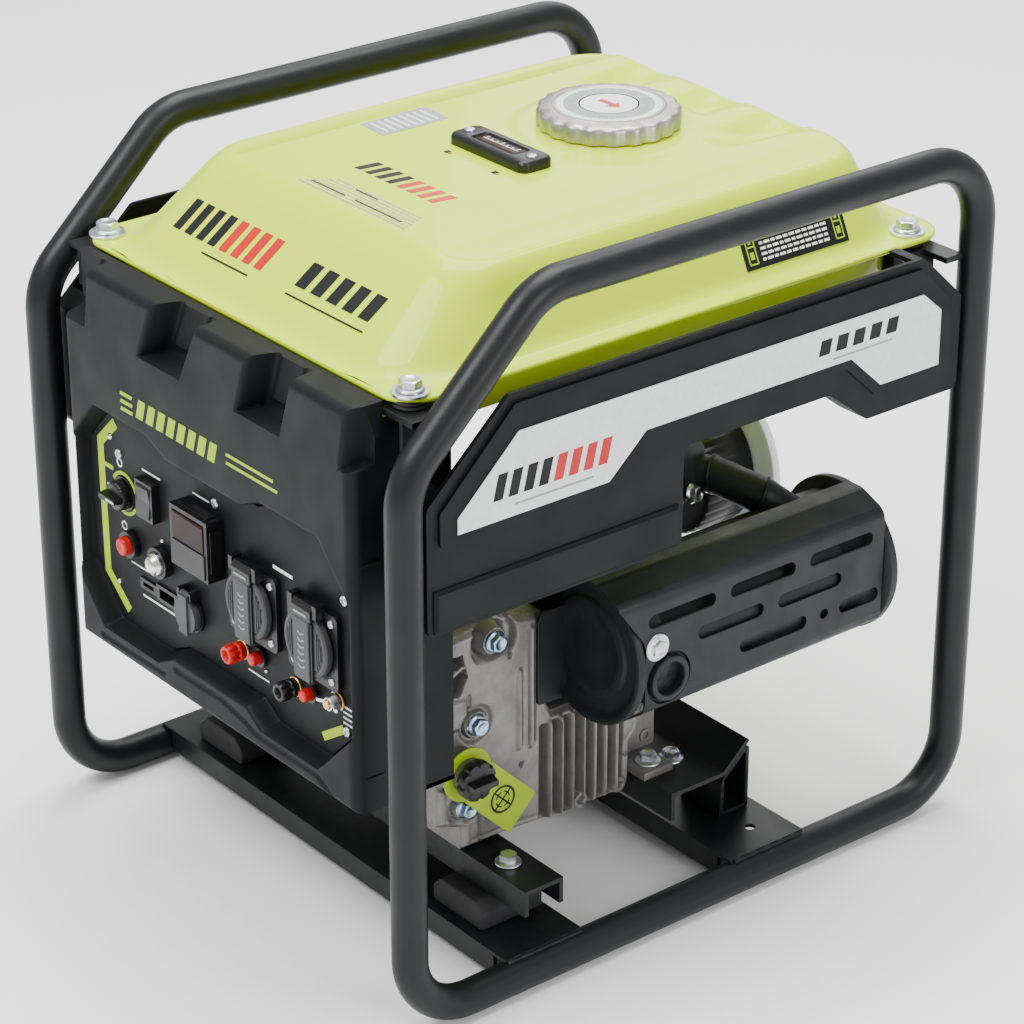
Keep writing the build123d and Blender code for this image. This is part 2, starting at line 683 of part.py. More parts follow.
def deck_point(side):
    """Edge of the crankcase face that the cylinder stands on."""
    y = CRANK_Y + deck_distance * cos(lean) - side * deck_half * sin(lean)
    z = CRANK_Z + deck_distance * sin(lean) + side * deck_half * cos(lean)
    return (y, z)


bore_plane = Plane(origin=(20, CRANK_Y, CRANK_Z), x_dir=(1, 0, 0), z_dir=(0, cos(lean), sin(lean)))
case_points = [
    (-131, 62),
    (-101, 62),
    (-95, 73),
    (-5, 73),
    (0, 70),
    (27, 70),
    (27, 75),
    (4, 75),
    (4, 86),
    deck_point(-1),
    deck_point(1),
    (-70, 222),
    (-120, 212),
    (-135, 195),
    (-135, 80),
]
case_x = (-72.0, 84.0)
case = prism("x", case_points, *case_x)
case -= rod("x", 52, case_x[0] + 6, case_x[1], CRANK_Y, CRANK_Z)
case -= rod("x", 12.5 + FIT, case_x[0] - 1, case_x[1], CRANK_Y, CRANK_Z)
case -= extrude(bore_plane * Circle(31), 120)
case -= drill((-60, 16, 75), (0, 0, 1), 3.2, 12)
parts["crankcase"] = case

# Crankcase cover: a full-height inner part, and an outer part that steps down below the muffler
cover_face_x = 122.0
cover_step_x = 97.0
inner_points = [(-150, 85), (-131, 78), (-96, 73), (0, 73), (0, 210), (-20, 215), (-142, 212), (-150, 200)]
side_points = [
    (-150, 85),
    (-131, 78),
    (-131, 62),
    (-100.5, 62),
    (-66, 60),
    (-44, 57),
    (-30, 58.5),
    (-12, 57),
    (2, 58.5),
    (5, 66),
    (5, 92),
    (12, 100),
    (12, 120),
    (4, 136),
    (-60, 136),
    (-66, 150),
    (-66, 207),
    (-100, 215),
    (-142, 212),
    (-150, 200),
]
flat_points = [
    (-138, 84),
    (-126, 68),
    (-100, 66),
    (-66, 63),
    (2, 63),
    (2, 92),
    (9, 101),
    (9, 119),
    (2, 132),
    (-64, 132),
    (-72, 146),
    (-72, 203),
    (-134, 206),
    (-142, 196),
]
side_cover = prism("x", inner_points, case_x[1], cover_step_x, radius=3)
side_cover += prism("x", side_points, case_x[1], cover_face_x - 4, radius=2)
side_cover += prism("x", flat_points, cover_face_x - 4, cover_face_x, radius=2)
tail_points = [(0, 75.5), (34, 75.5), (34, 106), (22, 118), (0, 126)]
side_cover += prism("x", tail_points, case_x[1], 110, radius=2)
bearing_r = 10.0
side_cover -= rod("x", 45, case_x[1] - 1, 92, CRANK_Y, CRANK_Z) - rod("x", 18, 80, 95, CRANK_Y, CRANK_Z)
side_cover -= rod("x", bearing_r + FIT, case_x[1] - 1, 94, CRANK_Y, CRANK_Z)
rib_pitch = 9.0
rib_half = 1.5
for step in range(7):
    y = -63.4 + step * rib_pitch
    side_cover += block((cover_face_x, cover_face_x + 4.5), (y - rib_half, y + rib_half), (62, 131))
for y in (-38, -6):
    side_cover += rod("x", 6.5, 104, cover_face_x + 1, y, 65)
for y, top in ((-87.9, 177), (-78.3, 204)):
    side_cover += block((cover_face_x, cover_face_x + 3), (y - rib_half, y + rib_half), (119, top))
side_cover += block((case_x[1], 137), (3, 27), (REAR_RAIL_Z, 75))
side_cover -= drill(foot_bolts[0], (0, 0, 1), 3.2, 12)
oil_y, oil_z = -137.0, 125.0
side_cover += rod("x", 14.0, 100, 128, oil_y, oil_z) + rod("x", 11.0, 128, 138, oil_y, oil_z)
side_cover -= rod("x", 8.6, 104, 140, oil_y, oil_z)
cover_bolt_yz = [(-121, 149), (-106.5, 202), (-130, 94)]
cover_bolts = []
for y, z in cover_bolt_yz:
    at = (cover_face_x, y, z)
    side_cover -= drill(at, (1, 0, 0), 3.2, 12)
    cover_bolts.append(hex_bolt(at, (1, 0, 0), shank=10, flange_r=7.5))
parts["crankcase_cover"] = side_cover

oil_cap = rod("x", 8.2, 112, 138.4, oil_y, oil_z)
oil_cap += along("x", Pos(oil_y, oil_z) * RegularPolygon(13.5, 8), 138.4, 146)
oil_cap += block((146, 153), (oil_y - 10, oil_y + 10), (oil_z - 2.6, oil_z + 2.6))
parts["oil_filler_cap"] = oil_cap
tag_down = Rot(0, 0, -45)
tag_face = Circle(18) + Pos(30, 0) * Rectangle(60, 30)
tag_face = tag_down * (tag_face - Circle(11 + GAP))
parts["oil_tag"] = along("x", Pos(oil_y, oil_z) * tag_face, 133.0, 134.2)

# Cylinder with fins, its head, and the rocker cover
cylinder = extrude(bore_plane.offset(deck_distance) * Rectangle(78, 80), 8)
cylinder += extrude(bore_plane.offset(86) * Circle(35), 58)
for step in range(7):
    cylinder += extrude(bore_plane.offset(90 + 7.4 * step) * RectangleRounded(88, 88, 12), 2.6)
cylinder += extrude(bore_plane.offset(142) * RectangleRounded(86, 80, 8), 24)
cylinder -= extrude(bore_plane.offset(60) * Circle(31), 84)
parts["cylinder"] = cylinder
rocker = extrude(bore_plane.offset(166) * RectangleRounded(70, 72, 12), 28)
rocker = fillet(rocker.faces().sort_by(Axis.Y)[-1].edges(), 7)
parts["rocker_cover"] = rocker

head_y = CRANK_Y + 154 * cos(lean)
head_z = CRANK_Z + 154 * sin(lean)
plug_plane = Plane(origin=(20, head_y, head_z), x_dir=(1, 0, 0), z_dir=(0, -sin(lean), cos(lean)))
plug = extrude(plug_plane.offset(40) * Circle(6), 12) + extrude(plug_plane.offset(52) * Circle(10), 26)
parts["spark_plug"] = plug + extrude(plug_plane.offset(46) * RegularPolygon(9, 6), 5)

# Carburettor on the left of the head, opening into the air cleaner behind
carb_x, carb_z = -37.0, 212.0
carb = block((-48, -24), (60, 88), (carb_z - 14, carb_z + 16)) + rod("y", 12.0, 88, 130, carb_x, carb_z)
carb += rod("z", 13.5, 168, 202, carb_x, 108)
parts["carburettor"] = carb
drum_x, drum_z = 8.0, 203.0
drum_profile = [(0, 130), (58, 130), (58, 172), (61, 173), (61, 177), (54, 181), (20, 182.5), (0, 182.5)]
drum = turned("y", drum_profile, drum_x, drum_z) - rod("y", 54, 133, 170, drum_x, drum_z)
parts["air_cleaner"] = drum - rod("z", 11, 140, 170, drum_x, 152)

# ---------------------------------------------------------------- exhaust
muffler_profile = [
    (0, -50),
    (38, -50),
    (42, -56),
    (49, -56),
    (50, -54),
    (50, -50),
    (MUFFLER_R, -48),
    (MUFFLER_R, 151),
    (51, 153),
    (51, 160),
    (44, 163.5),
    (0, 166),
]
muffler = turned("y", muffler_profile, MUFFLER_X, MUFFLER_Z)
guard_x = 193.2
outlet_y, outlet_z = -29.0, 181.0
guard_bolt_at = (guard_x + 0.8, -39.0, 205.0)
muffler += block((cover_step_x, cover_step_x + 3), (-48, 10), (146, 232))
muffler += block((cover_step_x + 3, 112), (-20, -10), (170, 212))
muffler += block((cover_face_x + 0.6, cover_face_x + 3), (-75, -50), (146, 211))
muffler -= rod("y", MUFFLER_R - 1.5, -46, 149, MUFFLER_X, MUFFLER_Z)
muffler += tube("x", 15.0, 11.0, 182, 196.5, outlet_y, outlet_z)
muffler += rod("x", 8.0, 180, guard_x - 0.8, *guard_bolt_at[1:])
muffler -= rod("x", 11.0, 160, 200, outlet_y, outlet_z)
muffler -= rod("x", 3.2, 176, 200, *guard_bolt_at[1:])
parts["muffler_shell"] = muffler

guard_line = [(176, 150.5), (guard_x, 163), (guard_x, 238), (172, 246.5), (160, 246.5)]
guard = strip("y", guard_line, 9, 1.6, -68, 150)
corner_cut = prism("x", [(-80, 240), (-69, 238), (-50, 212), (-47.8, 206), (-47.8, 140), (-80,
    140)], 150, 200)
guard -= corner_cut
slot_rows = {
    223: [(-46, 8), (20, 74), (86, 140)],
    203: [(-6, 48), (60, 114)],
    182: [(29, 85), (113, 147)],
}
slot_h = 9.5
for z, spans in slot_rows.items():
    for start, end in spans:
        face = Pos((start + end) / 2, z) * SlotOverall(end - start, slot_h)
        guard -= along("x", face, guard_x - 5, guard_x + 5)
for start, end in [(-8, 50), (66, 124)]:
    face = Pos(186, (start + end) / 2) * Rot(0, 0, 90) * SlotOverall(end - start, 4.6)
    guard -= along("z", face, 140, 168)
guard -= rod("x", 3.5, guard_x - 5, guard_x + 5, 100, 182)
guard -= rod("x", 17.5, guard_x - 5, guard_x + 5, outlet_y, outlet_z)
guard -= rod("x", 3.2, guard_x - 5, guard_x + 5, *guard_bolt_at[1:])
parts["muffler_guard"] = guard

pipe_r = 12.0
pipe_line = FilletPolyline((60, 72, 244), (98, 84, 253), (134, 112, 250), (150, 132, 214), radius=16)
pipe_end = Plane(origin=pipe_line @ 0, z_dir=pipe_line % 0)
pipe = sweep(pipe_end * Circle(pipe_r), path=pipe_line)
pipe += extrude(pipe_end * RectangleRounded(34, 44, 6), 8)
pipe -= rod("y", MUFFLER_R, -40, 151, MUFFLER_X, MUFFLER_Z)
pipe -= cylinder
pipe -= rocker
parts["exhaust_pipe"] = pipe.solids().sort_by(SortBy.VOLUME)[-1]

# Bolts of the engine and the muffler
cover_bolts.append(hex_bolt(guard_bolt_at, (1, 0, 0), shank=12, flange_r=9, head=3.5))
parts["engine_bolts"] = group(cover_bolts)

# ---------------------------------------------------------------- flywheel end
crank = (CRANK_Y, CRANK_Z)
rotor = rod("x", 12.5, -152, 60, *crank) + rod("x", bearing_r, 60, 93, *crank)
rotor += rod("x", 60, -150, -144, *crank) + tube("x", 60, 54, -144, -100, *crank)
for web_x in (-8, 38):
    rotor += rod("x", 34, web_x, web_x + 10, *crank)
parts["flywheel_rotor"] = rotor
stator = tube("x", 50, 24, -138, -104, *crank) + tube("x", 24, 16, -138, -72, *crank)
for place in PolarLocations(38, 12):
    stator -= Pos(-121, CRANK_Y, CRANK_Z) * Rot(0, 90, 0) * place * Box(22, 6, 60)
parts["stator"] = stator

shroud_r = 70.0
recoil_x = -184.0
shroud = tube("x", shroud_r, shroud_r - 3, -158, -72, *crank)
shroud += tube("x", shroud_r, 14, -161, -158, *crank)
shroud += tube("x", 60, 57, recoil_x, -161, *crank) + tube("x", 60, 14, recoil_x, recoil_x + 3, *crank)
for place in PolarLocations(40, 10):
    slot = Pos(recoil_x + 1.5, CRANK_Y, CRANK_Z) * Rot(0, 90, 0) * place * Box(26, 7, 8)
    shroud -= slot
shroud -= block((-180, -164), (CRANK_Y - 8, CRANK_Y + 8), (205, 212))
handle_y, handle_z = -98.0, 176.0
shroud += rod("x", 9, recoil_x - 2, recoil_x, handle_y, handle_z)
shroud -= rod("x", 3, recoil_x - 3, recoil_x + 4, handle_y, handle_z)
parts["recoil_housing"] = shroud
pulley_r = 40.0
pulley = rod("x", pulley_r + 4, -177, -175, *crank) + rod("x", pulley_r, -175, -169, *crank)
pulley += rod("x", pulley_r + 4, -169, -167, *crank) + rod("x", 13.5, recoil_x, -162, *crank)
parts["rope_pulley"] = pulley
grip_points = [(-197.5, 138), (-190, 138), (-187, 146), (-186.6, 176), (-187, 206), (-190, 214),
    (-197.5, 214)]
handle = prism("y", grip_points, handle_y - 8, handle_y + 8, radius=2.5)
parts["recoil_handle"] = handle

for name, shape in parts.items():
    export_step(shape if isinstance(shape, Compound) else Compound(shape.solids()), f"parts/{name}.step")
    print(name, len(shape.solids()), round(shape.volume))
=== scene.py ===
"""Looks of the inverter generator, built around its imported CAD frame.

Shapes are drawn in millimetres and scaled to metres as their points are made. Modifier widths are in metres.
"""

import json
from math import atan2, cos, pi, radians, sin, sqrt, tan

import bmesh
import bpy
import numpy as np
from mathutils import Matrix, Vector


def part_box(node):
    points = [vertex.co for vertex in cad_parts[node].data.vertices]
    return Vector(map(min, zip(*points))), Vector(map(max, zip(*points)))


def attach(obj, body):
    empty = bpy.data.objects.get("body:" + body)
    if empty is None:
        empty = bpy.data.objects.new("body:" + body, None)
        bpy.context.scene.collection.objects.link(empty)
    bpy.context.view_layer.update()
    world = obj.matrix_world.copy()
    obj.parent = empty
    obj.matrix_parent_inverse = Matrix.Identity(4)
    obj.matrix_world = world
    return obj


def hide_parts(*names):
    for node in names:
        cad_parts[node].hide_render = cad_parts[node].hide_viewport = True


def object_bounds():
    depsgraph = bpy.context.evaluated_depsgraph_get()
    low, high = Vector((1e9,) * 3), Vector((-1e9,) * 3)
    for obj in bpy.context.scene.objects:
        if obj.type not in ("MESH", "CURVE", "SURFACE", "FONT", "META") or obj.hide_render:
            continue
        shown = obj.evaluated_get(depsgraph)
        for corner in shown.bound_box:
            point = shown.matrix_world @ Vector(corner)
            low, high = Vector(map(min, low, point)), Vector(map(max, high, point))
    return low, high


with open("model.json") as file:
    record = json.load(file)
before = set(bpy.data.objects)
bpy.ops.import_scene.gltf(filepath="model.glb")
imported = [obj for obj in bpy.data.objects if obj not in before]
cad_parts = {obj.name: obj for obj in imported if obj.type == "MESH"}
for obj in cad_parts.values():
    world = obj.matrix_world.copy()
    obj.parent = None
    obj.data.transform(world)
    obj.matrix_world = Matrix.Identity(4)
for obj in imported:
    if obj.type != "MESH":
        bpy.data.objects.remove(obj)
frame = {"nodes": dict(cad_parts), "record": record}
cad_low, cad_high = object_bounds()
NODES = frame["nodes"]
MM = 0.001


# ---------------------------------------------------------------- node materials
class Shader:
    """A Principled material with small helpers for procedural colour, roughness and bump."""

    def __init__(self, name, color, roughness, metallic=0.0, **extra):
        self.material = bpy.data.materials.new(name)
        self.material.use_nodes = True
        self.tree = self.material.node_tree
        self.nodes = self.tree.nodes
        self.bsdf = self.nodes["Principled BSDF"]
        self.set("Base Color", (*color, 1.0))
        self.set("Roughness", roughness)
        self.set("Metallic", metallic)
        for socket, value in extra.items():
            self.set(socket.replace("_", " "), value)
        self.base = color
        self.space = self.nodes.new("ShaderNodeTexCoord").outputs["Object"]
        self.height = None

    def set(self, socket, value):
        self.bsdf.inputs[socket].default_value = value

    def link(self, output, socket):
        self.tree.links.new(output, socket)

    def mapped(self, scale):
        node = self.nodes.new("ShaderNodeMapping")
        node.inputs["Scale"].default_value = scale
        self.link(self.space, node.inputs["Vector"])
        return node.outputs["Vector"]

    def noise(self, scale, detail=4.0, rough=0.55):
        node = self.nodes.new("ShaderNodeTexNoise")
        node.inputs["Scale"].default_value = scale
        node.inputs["Detail"].default_value = detail
        node.inputs["Roughness"].default_value = rough
        self.link(self.mapped((1, 1, 1)), node.inputs["Vector"])
        return node.outputs["Fac"]

    def cells(self, scale):
        node = self.nodes.new("ShaderNodeTexVoronoi")
        node.inputs["Scale"].default_value = scale
        self.link(self.mapped((1, 1, 1)), node.inputs["Vector"])
        return node.outputs["Distance"]

    def ramp(self, fac, stops):
        node = self.nodes.new("ShaderNodeValToRGB")
        ramp = node.color_ramp
        while len(ramp.elements) < len(stops):
            ramp.elements.new(0.5)
        for element, (place, color) in zip(ramp.elements, stops):
            element.position = place
            element.color = (*color, 1.0) if len(color) == 3 else color
        self.link(fac, node.inputs["Fac"])
        return node.outputs["Color"]

    def remap(self, fac, lo, hi, start=0.3, end=0.7):
        node = self.nodes.new("ShaderNodeMapRange")
        node.inputs["From Min"].default_value = start
        node.inputs["From Max"].default_value = end
        node.inputs["To Min"].default_value = lo
        node.inputs["To Max"].default_value = hi
        self.link(fac, node.inputs["Value"])
        return node.outputs["Result"]

    def mix(self, fac, a, b):
        node = self.nodes.new("ShaderNodeMix")
        node.data_type = "RGBA"
        self.link(fac, node.inputs["Factor"])
        for value, socket in ((a, node.inputs["A"]), (b, node.inputs["B"])):
            if isinstance(value, tuple):
                socket.default_value = (*value, 1.0)
            else:
                self.link(value, socket)
        return node.outputs["Result"]

    def multiply(self, a, b):
        node = self.nodes.new("ShaderNodeMath")
        node.operation = "MULTIPLY"
        self.link(a, node.inputs[0])
        self.link(b, node.inputs[1])
        return node.outputs[0]

    def edges(self, reach=0.6, low=0.52, high=0.62):
        """Worn corners, from the mesh's pointiness."""
        node = self.nodes.new("ShaderNodeNewGeometry")
        return self.remap(node.outputs["Pointiness"], 0.0, reach, low, high)

    def color(self, output):
        self.link(output, self.bsdf.inputs["Base Color"])
        return self

    def roughness(self, output):
        self.link(output, self.bsdf.inputs["Roughness"])
        return self

    def bump(self, fac, strength, distance):
        node = self.nodes.new("ShaderNodeBump")
        node.inputs["Strength"].default_value = strength
        node.inputs["Distance"].default_value = distance
        self.link(fac, node.inputs["Height"])
        if self.height:
            self.link(self.height, node.inputs["Normal"])
        self.height = node.outputs["Normal"]
        self.link(self.height, self.bsdf.inputs["Normal"])
        return self


def shade(color, factor):
    return tuple(min(1.0, c * factor) for c in color)


def tinted(shader, spread, scale, detail=3.0):
    """Slight variation of the base colour over the surface."""
    fac = shader.noise(scale, detail)
    low, high = shade(shader.base, 1 - spread), shade(shader.base, 1 + spread)
    return shader.color(shader.ramp(fac, [(0.3, low), (0.7, high)]))


def moulded(name, color, roughness=0.5, grain=0.25, **extra):
    """Spark-eroded moulded plastic: fine pebble grain with slightly glossier rubbed patches."""
    s = Shader(name, color, roughness, **extra)
    tinted(s, 0.08, 18)
    s.roughness(s.remap(s.noise(26, 5), roughness - 0.07, roughness + 0.08))
    s.bump(s.noise(2600, 2), grain, 0.00012)
    s.bump(s.noise(40, 3), 0.08, 0.0008)
    return s.material


def painted(name, color, roughness=0.35, orange_peel=0.2, worn=(0.32, 0.31, 0.30), wear=0.5):
    """Sprayed paint over steel: orange peel, faint mottling, and edges rubbed a little paler."""
    s = Shader(name, color, roughness, Coat_Weight=0.06, Coat_Roughness=0.20, Specular_IOR_Level=0.24)
    speckle = s.ramp(s.noise(14, 4), [(0.3, shade(color, 0.92)), (0.7, shade(color, 1.08))])
    rubbed = s.multiply(s.edges(wear, 0.56, 0.66), s.remap(s.noise(160, 5), 0.0, 1.0, 0.45, 0.62))
    s.color(s.mix(rubbed, speckle, worn))
    s.roughness(s.remap(s.noise(34, 4), roughness - 0.05, roughness + 0.07))
    s.bump(s.noise(520, 2), orange_peel, 0.0002)
    return s.material


def plated(name, color, roughness=0.28):
    """Plated steel with faint draw marks and duller patches."""
    s = Shader(name, color, roughness, metallic=1.0)
    s.color(s.ramp(s.noise(90, 4), [(0.3, shade(color, 0.78)), (0.7, shade(color, 1.12))]))
    s.roughness(s.remap(s.noise(140, 5), roughness - 0.08, roughness + 0.14))
    s.bump(s.noise(900, 3), 0.12, 0.0001)
    return s.material


def cast(name, color, roughness=0.52):
    """Die-cast alloy: grainy skin, grey mottling and painted shade darkening the hollows."""
    s = Shader(name, color, roughness, metallic=0.6)
    stops = [(0.28, shade(color, 0.70)), (0.5, color), (0.74, shade(color, 1.22))]
    mottled = s.ramp(s.noise(46, 6, rough=0.7), stops)
    geometry = s.nodes.new("ShaderNodeNewGeometry")
    # Painted shade: concave places, found from the mesh's pointiness, are darkened as if shade falls there.
    painted_hollow_shade = s.remap(geometry.outputs["Pointiness"], 0.55, 0.0, 0.40, 0.50)
    s.color(s.mix(painted_hollow_shade, mottled, shade(color, 0.42)))
    s.roughness(s.remap(s.noise(120, 4), roughness - 0.10, roughness + 0.12))
    s.bump(s.noise(1500, 4), 0.35, 0.00016)
    s.bump(s.cells(420), 0.10, 0.0002)
    return s.material


def lime_paint(name, color):
    """Glossy lime enamel with a clear coat, a faint orange peel and a faint painted glow."""
    s = Shader(name, color, 0.34, Coat_Weight=0.30, Coat_Roughness=0.05, Specular_IOR_Level=0.18)
    tinted(s, 0.03, 7)
    # Painted light: a faint lime emission makes the paint glow a little brighter than the lamps alone light
    # it.
    s.set("Emission Color", (0.80, 1.0, 0.0, 1.0))
    s.set("Emission Strength", 0.05)
    s.roughness(s.remap(s.noise(22, 4), 0.30, 0.42))
    s.bump(s.noise(330, 2), 0.10, 0.0002)
    return s.material


def rubber(name, color):
    s = Shader(name, color, 0.72, Specular_IOR_Level=0.35)
    dusty = s.ramp(s.noise(30, 5), [(0.35, color), (0.75, shade(color, 2.0))])
    s.color(dusty)
    s.roughness(s.remap(s.noise(80, 4), 0.62, 0.84))
    s.bump(s.noise(1100, 3), 0.3, 0.0002)
    return s.material


def soot_black(name, color, roughness=0.5):
    """Baked heat-resistant black with a faint brown bloom."""
    s = Shader(name, color, roughness, Specular_IOR_Level=0.24)
    bloom = s.remap(s.noise(9, 5), 0.0, 0.5, 0.48, 0.72)
    base = s.ramp(s.noise(60, 5), [(0.3, shade(color, 0.8)), (0.7, shade(color, 1.25))])
    s.color(s.mix(bloom, base, (color[0] * 1.5, color[1] * 1.35, color[2] * 1.2)))
    s.roughness(s.remap(s.noise(44, 5), roughness - 0.10, roughness + 0.10))
    s.bump(s.noise(760, 4), 0.25, 0.0002)
    return s.material


def clear_plastic(name, color, roughness=0.12):
    s = Shader(name, color, roughness, Specular_IOR_Level=0.14)
    tinted(s, 0.15, 40)
    s.roughness(s.remap(s.noise(60, 3), roughness, roughness + 0.10))
    s.bump(s.noise(300, 2), 0.05, 0.0002)
    return s.material


def printed(name, color, roughness=0.4):
    """Ink or film: even colour with a fine print grain."""
    s = Shader(name, color, roughness, Specular_IOR_Level=0.2)
    tinted(s, 0.05, 240)
    s.roughness(s.remap(s.noise(120, 3), roughness - 0.05, roughness + 0.08))
    s.bump(s.noise(1800, 2), 0.10, 0.00008)
    return s.material


MAT = {
    "frame_paint": painted("frame_black_paint", (0.0060, 0.0066, 0.0075), 0.42, wear=0.12),
    "rubber": rubber("mount_rubber", (0.012, 0.012, 0.013)),
    "zinc": plated("zinc_plate", (0.62, 0.65, 0.69), 0.30),
    "blue_zinc": plated("blue_zinc_plate", (0.36, 0.50, 0.66), 0.26),
    "tank_paint": lime_paint("lime_enamel", (0.535, 0.715, 0.001)),
    "cap_metal": plated("satin_chrome", (0.46, 0.45, 0.42), 0.38),
    "gloss_black": moulded("black_moulding", (0.007, 0.007, 0.008), 0.34, 0.12, Specular_IOR_Level=0.35),
    "panel_plastic": moulded(
        "charcoal_moulding", (0.0075, 0.0083, 0.0093), 0.50, 0.30, Specular_IOR_Level=0.13
    ),
    "decal_film": printed("pale_film", (0.70, 0.72, 0.72), 0.32),
    "grey_plastic": moulded("grey_moulding", (0.050, 0.054, 0.057), 0.48, 0.20, Specular_IOR_Level=0.30),
    "smoked_plastic": clear_plastic("smoked_window", (0.020, 0.008, 0.006), 0.30),
    "red_plastic": moulded("red_moulding", (0.50, 0.006, 0.004), 0.34, 0.08, Specular_IOR_Level=0.3),
    "stud_brass": plated("stud_brass", (0.74, 0.55, 0.24), 0.28),
    "cast_alloy": cast("cast_alloy", (0.205, 0.200, 0.190)),
    "engine_black": soot_black("engine_black", (0.016, 0.016, 0.016), 0.42),
    "muffler_black": soot_black("muffler_black", (0.0115, 0.0125, 0.0145), 0.50),
    "lime_plastic": moulded("lime_tag_plastic", (0.26, 0.38, 0.002), 0.42, 0.15, Specular_IOR_Level=0.25),
    "rotor_iron": cast("rotor_iron", (0.16, 0.16, 0.16), 0.45),
    "lime_ink": printed("lime_ink", (0.36, 0.54, 0.002), 0.50),
    "white_ink": printed("white_ink", (0.78, 0.78, 0.76), 0.45),
    "black_ink": printed("black_ink", (0.008, 0.008, 0.009), 0.50),
    "grey_ink": printed("grey_ink", (0.30, 0.31, 0.31), 0.40),
    "pale_plastic": moulded("pale_moulding", (0.80, 0.88, 0.95), 0.45, 0.15),
    "silver_button": plated("domed_steel", (0.74, 0.74, 0.72), 0.22),
}

slot_of = {row["node"]: row["material_slot"] for row in frame["record"]["subparts"]}


# ---------------------------------------------------------------- camera, light and floor
def make_stage():
    low, high = cad_low, cad_high
    bpy.ops.mesh.primitive_plane_add(size=1)
    floor = bpy.context.object
    floor.name = "stage_floor"
    floor.scale = (8, 8, 1)
    floor.location = (0, 0, low.z - 0.0002)
    s = Shader("stage_paper", (0.96, 0.96, 0.96), 0.9)
    s.color(s.ramp(s.noise(3, 2), [(0.3, (0.95, 0.95, 0.95)), (0.7, (0.97, 0.97, 0.97))]))
    floor.data.materials.append(s.material)

    world = bpy.data.worlds.new("studio")
    bpy.context.scene.world = world
    world.use_nodes = True
    background = world.node_tree.nodes["Background"]
    background.inputs["Color"].default_value = (1.0, 1.0, 1.0, 1.0)
    background.inputs["Strength"].default_value = 0.80

    centre = (low + high) / 2
    for name, place, size, power in (
        ("key_light", (-0.2, -1.5, 2.3), 1.2, 62),
        ("side_light", (2.4, 0.2, 1.2), 1.0, 26),
        ("top_light", (-0.3, 0.5, 2.7), 1.8, 110),
        ("back_light", (-1.6, 2.0, 1.8), 1.4, 18),
    ):
        lamp = bpy.data.lights.new(name, "AREA")
        lamp.shape = "SQUARE"
        lamp.size = size
        lamp.energy = power
        holder = bpy.data.objects.new(name, lamp)
        bpy.context.scene.collection.objects.link(holder)
        holder.location = place
        holder.rotation_mode = "QUATERNION"
        holder.rotation_quaternion = (Vector(place) - centre).to_track_quat("Z", "Y")


def make_camera():
    data = bpy.data.cameras.new("camera")
    data.sensor_width = 36.0
    data.lens = 119.97
    data.shift_x = -0.0027
    data.shift_y = -0.0155
    data.clip_start = 0.05
    data.clip_end = 20
    camera = bpy.data.objects.new("camera", data)
    bpy.context.scene.collection.objects.link(camera)
    azimuth, elevation = radians(51.21), radians(25.74)
    back = Vector((sin(azimuth) * cos(elevation), -cos(azimuth) * cos(elevation), sin(elevation)))
    camera.location = (1.5495, -1.2382, 1.1775)
    camera.rotation_mode = "QUATERNION"
    camera.rotation_quaternion = (-back).to_track_quat("-Z", "Y")
    bpy.context.scene.camera = camera


make_stage()
make_camera()


# ---------------------------------------------------------------- CAD nodes that stay
def soften(obj, width):
    soft = obj.modifiers.new("soft_edges", "BEVEL")
    soft.width = width
    soft.segments = 2
    soft.limit_method = "ANGLE"
    soft.angle_limit = radians(32)
    soft.harden_normals = True


def dress(node, material):
    """Gives a CAD node its material and soft edges; its own mesh isn't changed."""
    obj = NODES[node]
    obj.data.materials.clear()
    obj.data.materials.append(MAT[material])
    weld = obj.modifiers.new("weld", "WELD")
    weld.merge_threshold = 0.000005
    flat = obj.modifiers.new("merge_flats", "DECIMATE")
    flat.decimate_type = "DISSOLVE"
    flat.angle_limit = radians(0.5)
    soften(obj, 0.0006)


for node_name, slot_name in slot_of.items():
    dress(node_name, slot_name)


# ---------------------------------------------------------------- mesh helpers
def finish_mesh(name, bm, material, body="frame", bevel=0.0, sharp=35, cad=None):
    """Turns a bmesh into a named piece that rides on a body, with smooth shading and soft edges."""
    bmesh.ops.remove_doubles(bm, verts=bm.verts, dist=1e-6)
    bmesh.ops.recalc_face_normals(bm, faces=bm.faces)
    mesh = bpy.data.meshes.new(name)
    bm.to_mesh(mesh)
    bm.free()
    for polygon in mesh.polygons:
        polygon.use_smooth = True
    mesh.set_sharp_from_angle(angle=radians(sharp))
    obj = bpy.data.objects.new(name, mesh)
    bpy.context.scene.collection.objects.link(obj)
    mesh.materials.append(MAT[material])
    if bevel:
        soften(obj, bevel)
    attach(obj, body)
    if cad:
        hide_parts(cad)
    return obj


AXES = {
    "x": lambda a, b, t: Vector((t, a, b)),
    "y": lambda a, b, t: Vector((a, t, b)),
    "z": lambda a, b, t: Vector((a, b, t)),
}


def place(axis, a, b, t):
    """Point in metres from millimetres: (a, b) across the axis and t along it."""
    return AXES[axis](a, b, t) * MM


def add_loops(bm, loops, closed=True, cap_start=False, cap_end=False, wrap=False):
    """Skin of quads between successive loops of points."""
    rings = [[bm.verts.new(p) for p in loop] for loop in loops]
    pairs = list(zip(rings, rings[1:])) + ([(rings[-1], rings[0])] if wrap else [])
    for low, high in pairs:
        count = len(low)
        for i in range(count if closed else count - 1):
            j = (i + 1) % count
            bm.faces.new((low[i], low[j], high[j], high[i]))
    if cap_start:
        bm.faces.new(list(reversed(rings[0])))
    if cap_end:
        bm.faces.new(rings[-1])
    return rings


CORNERS = ((-1, -1), (1, -1), (1, 1), (-1, 1))
CAPPED = {"cap_start": True, "cap_end": True}


def add_prism(bm, axis, outline, lo, hi):
    """Closed prism between two planes across an axis; the outline is in millimetres."""
    add_loops(bm, [[place(axis, a, b, t) for a, b in outline] for t in (lo, hi)], **CAPPED)


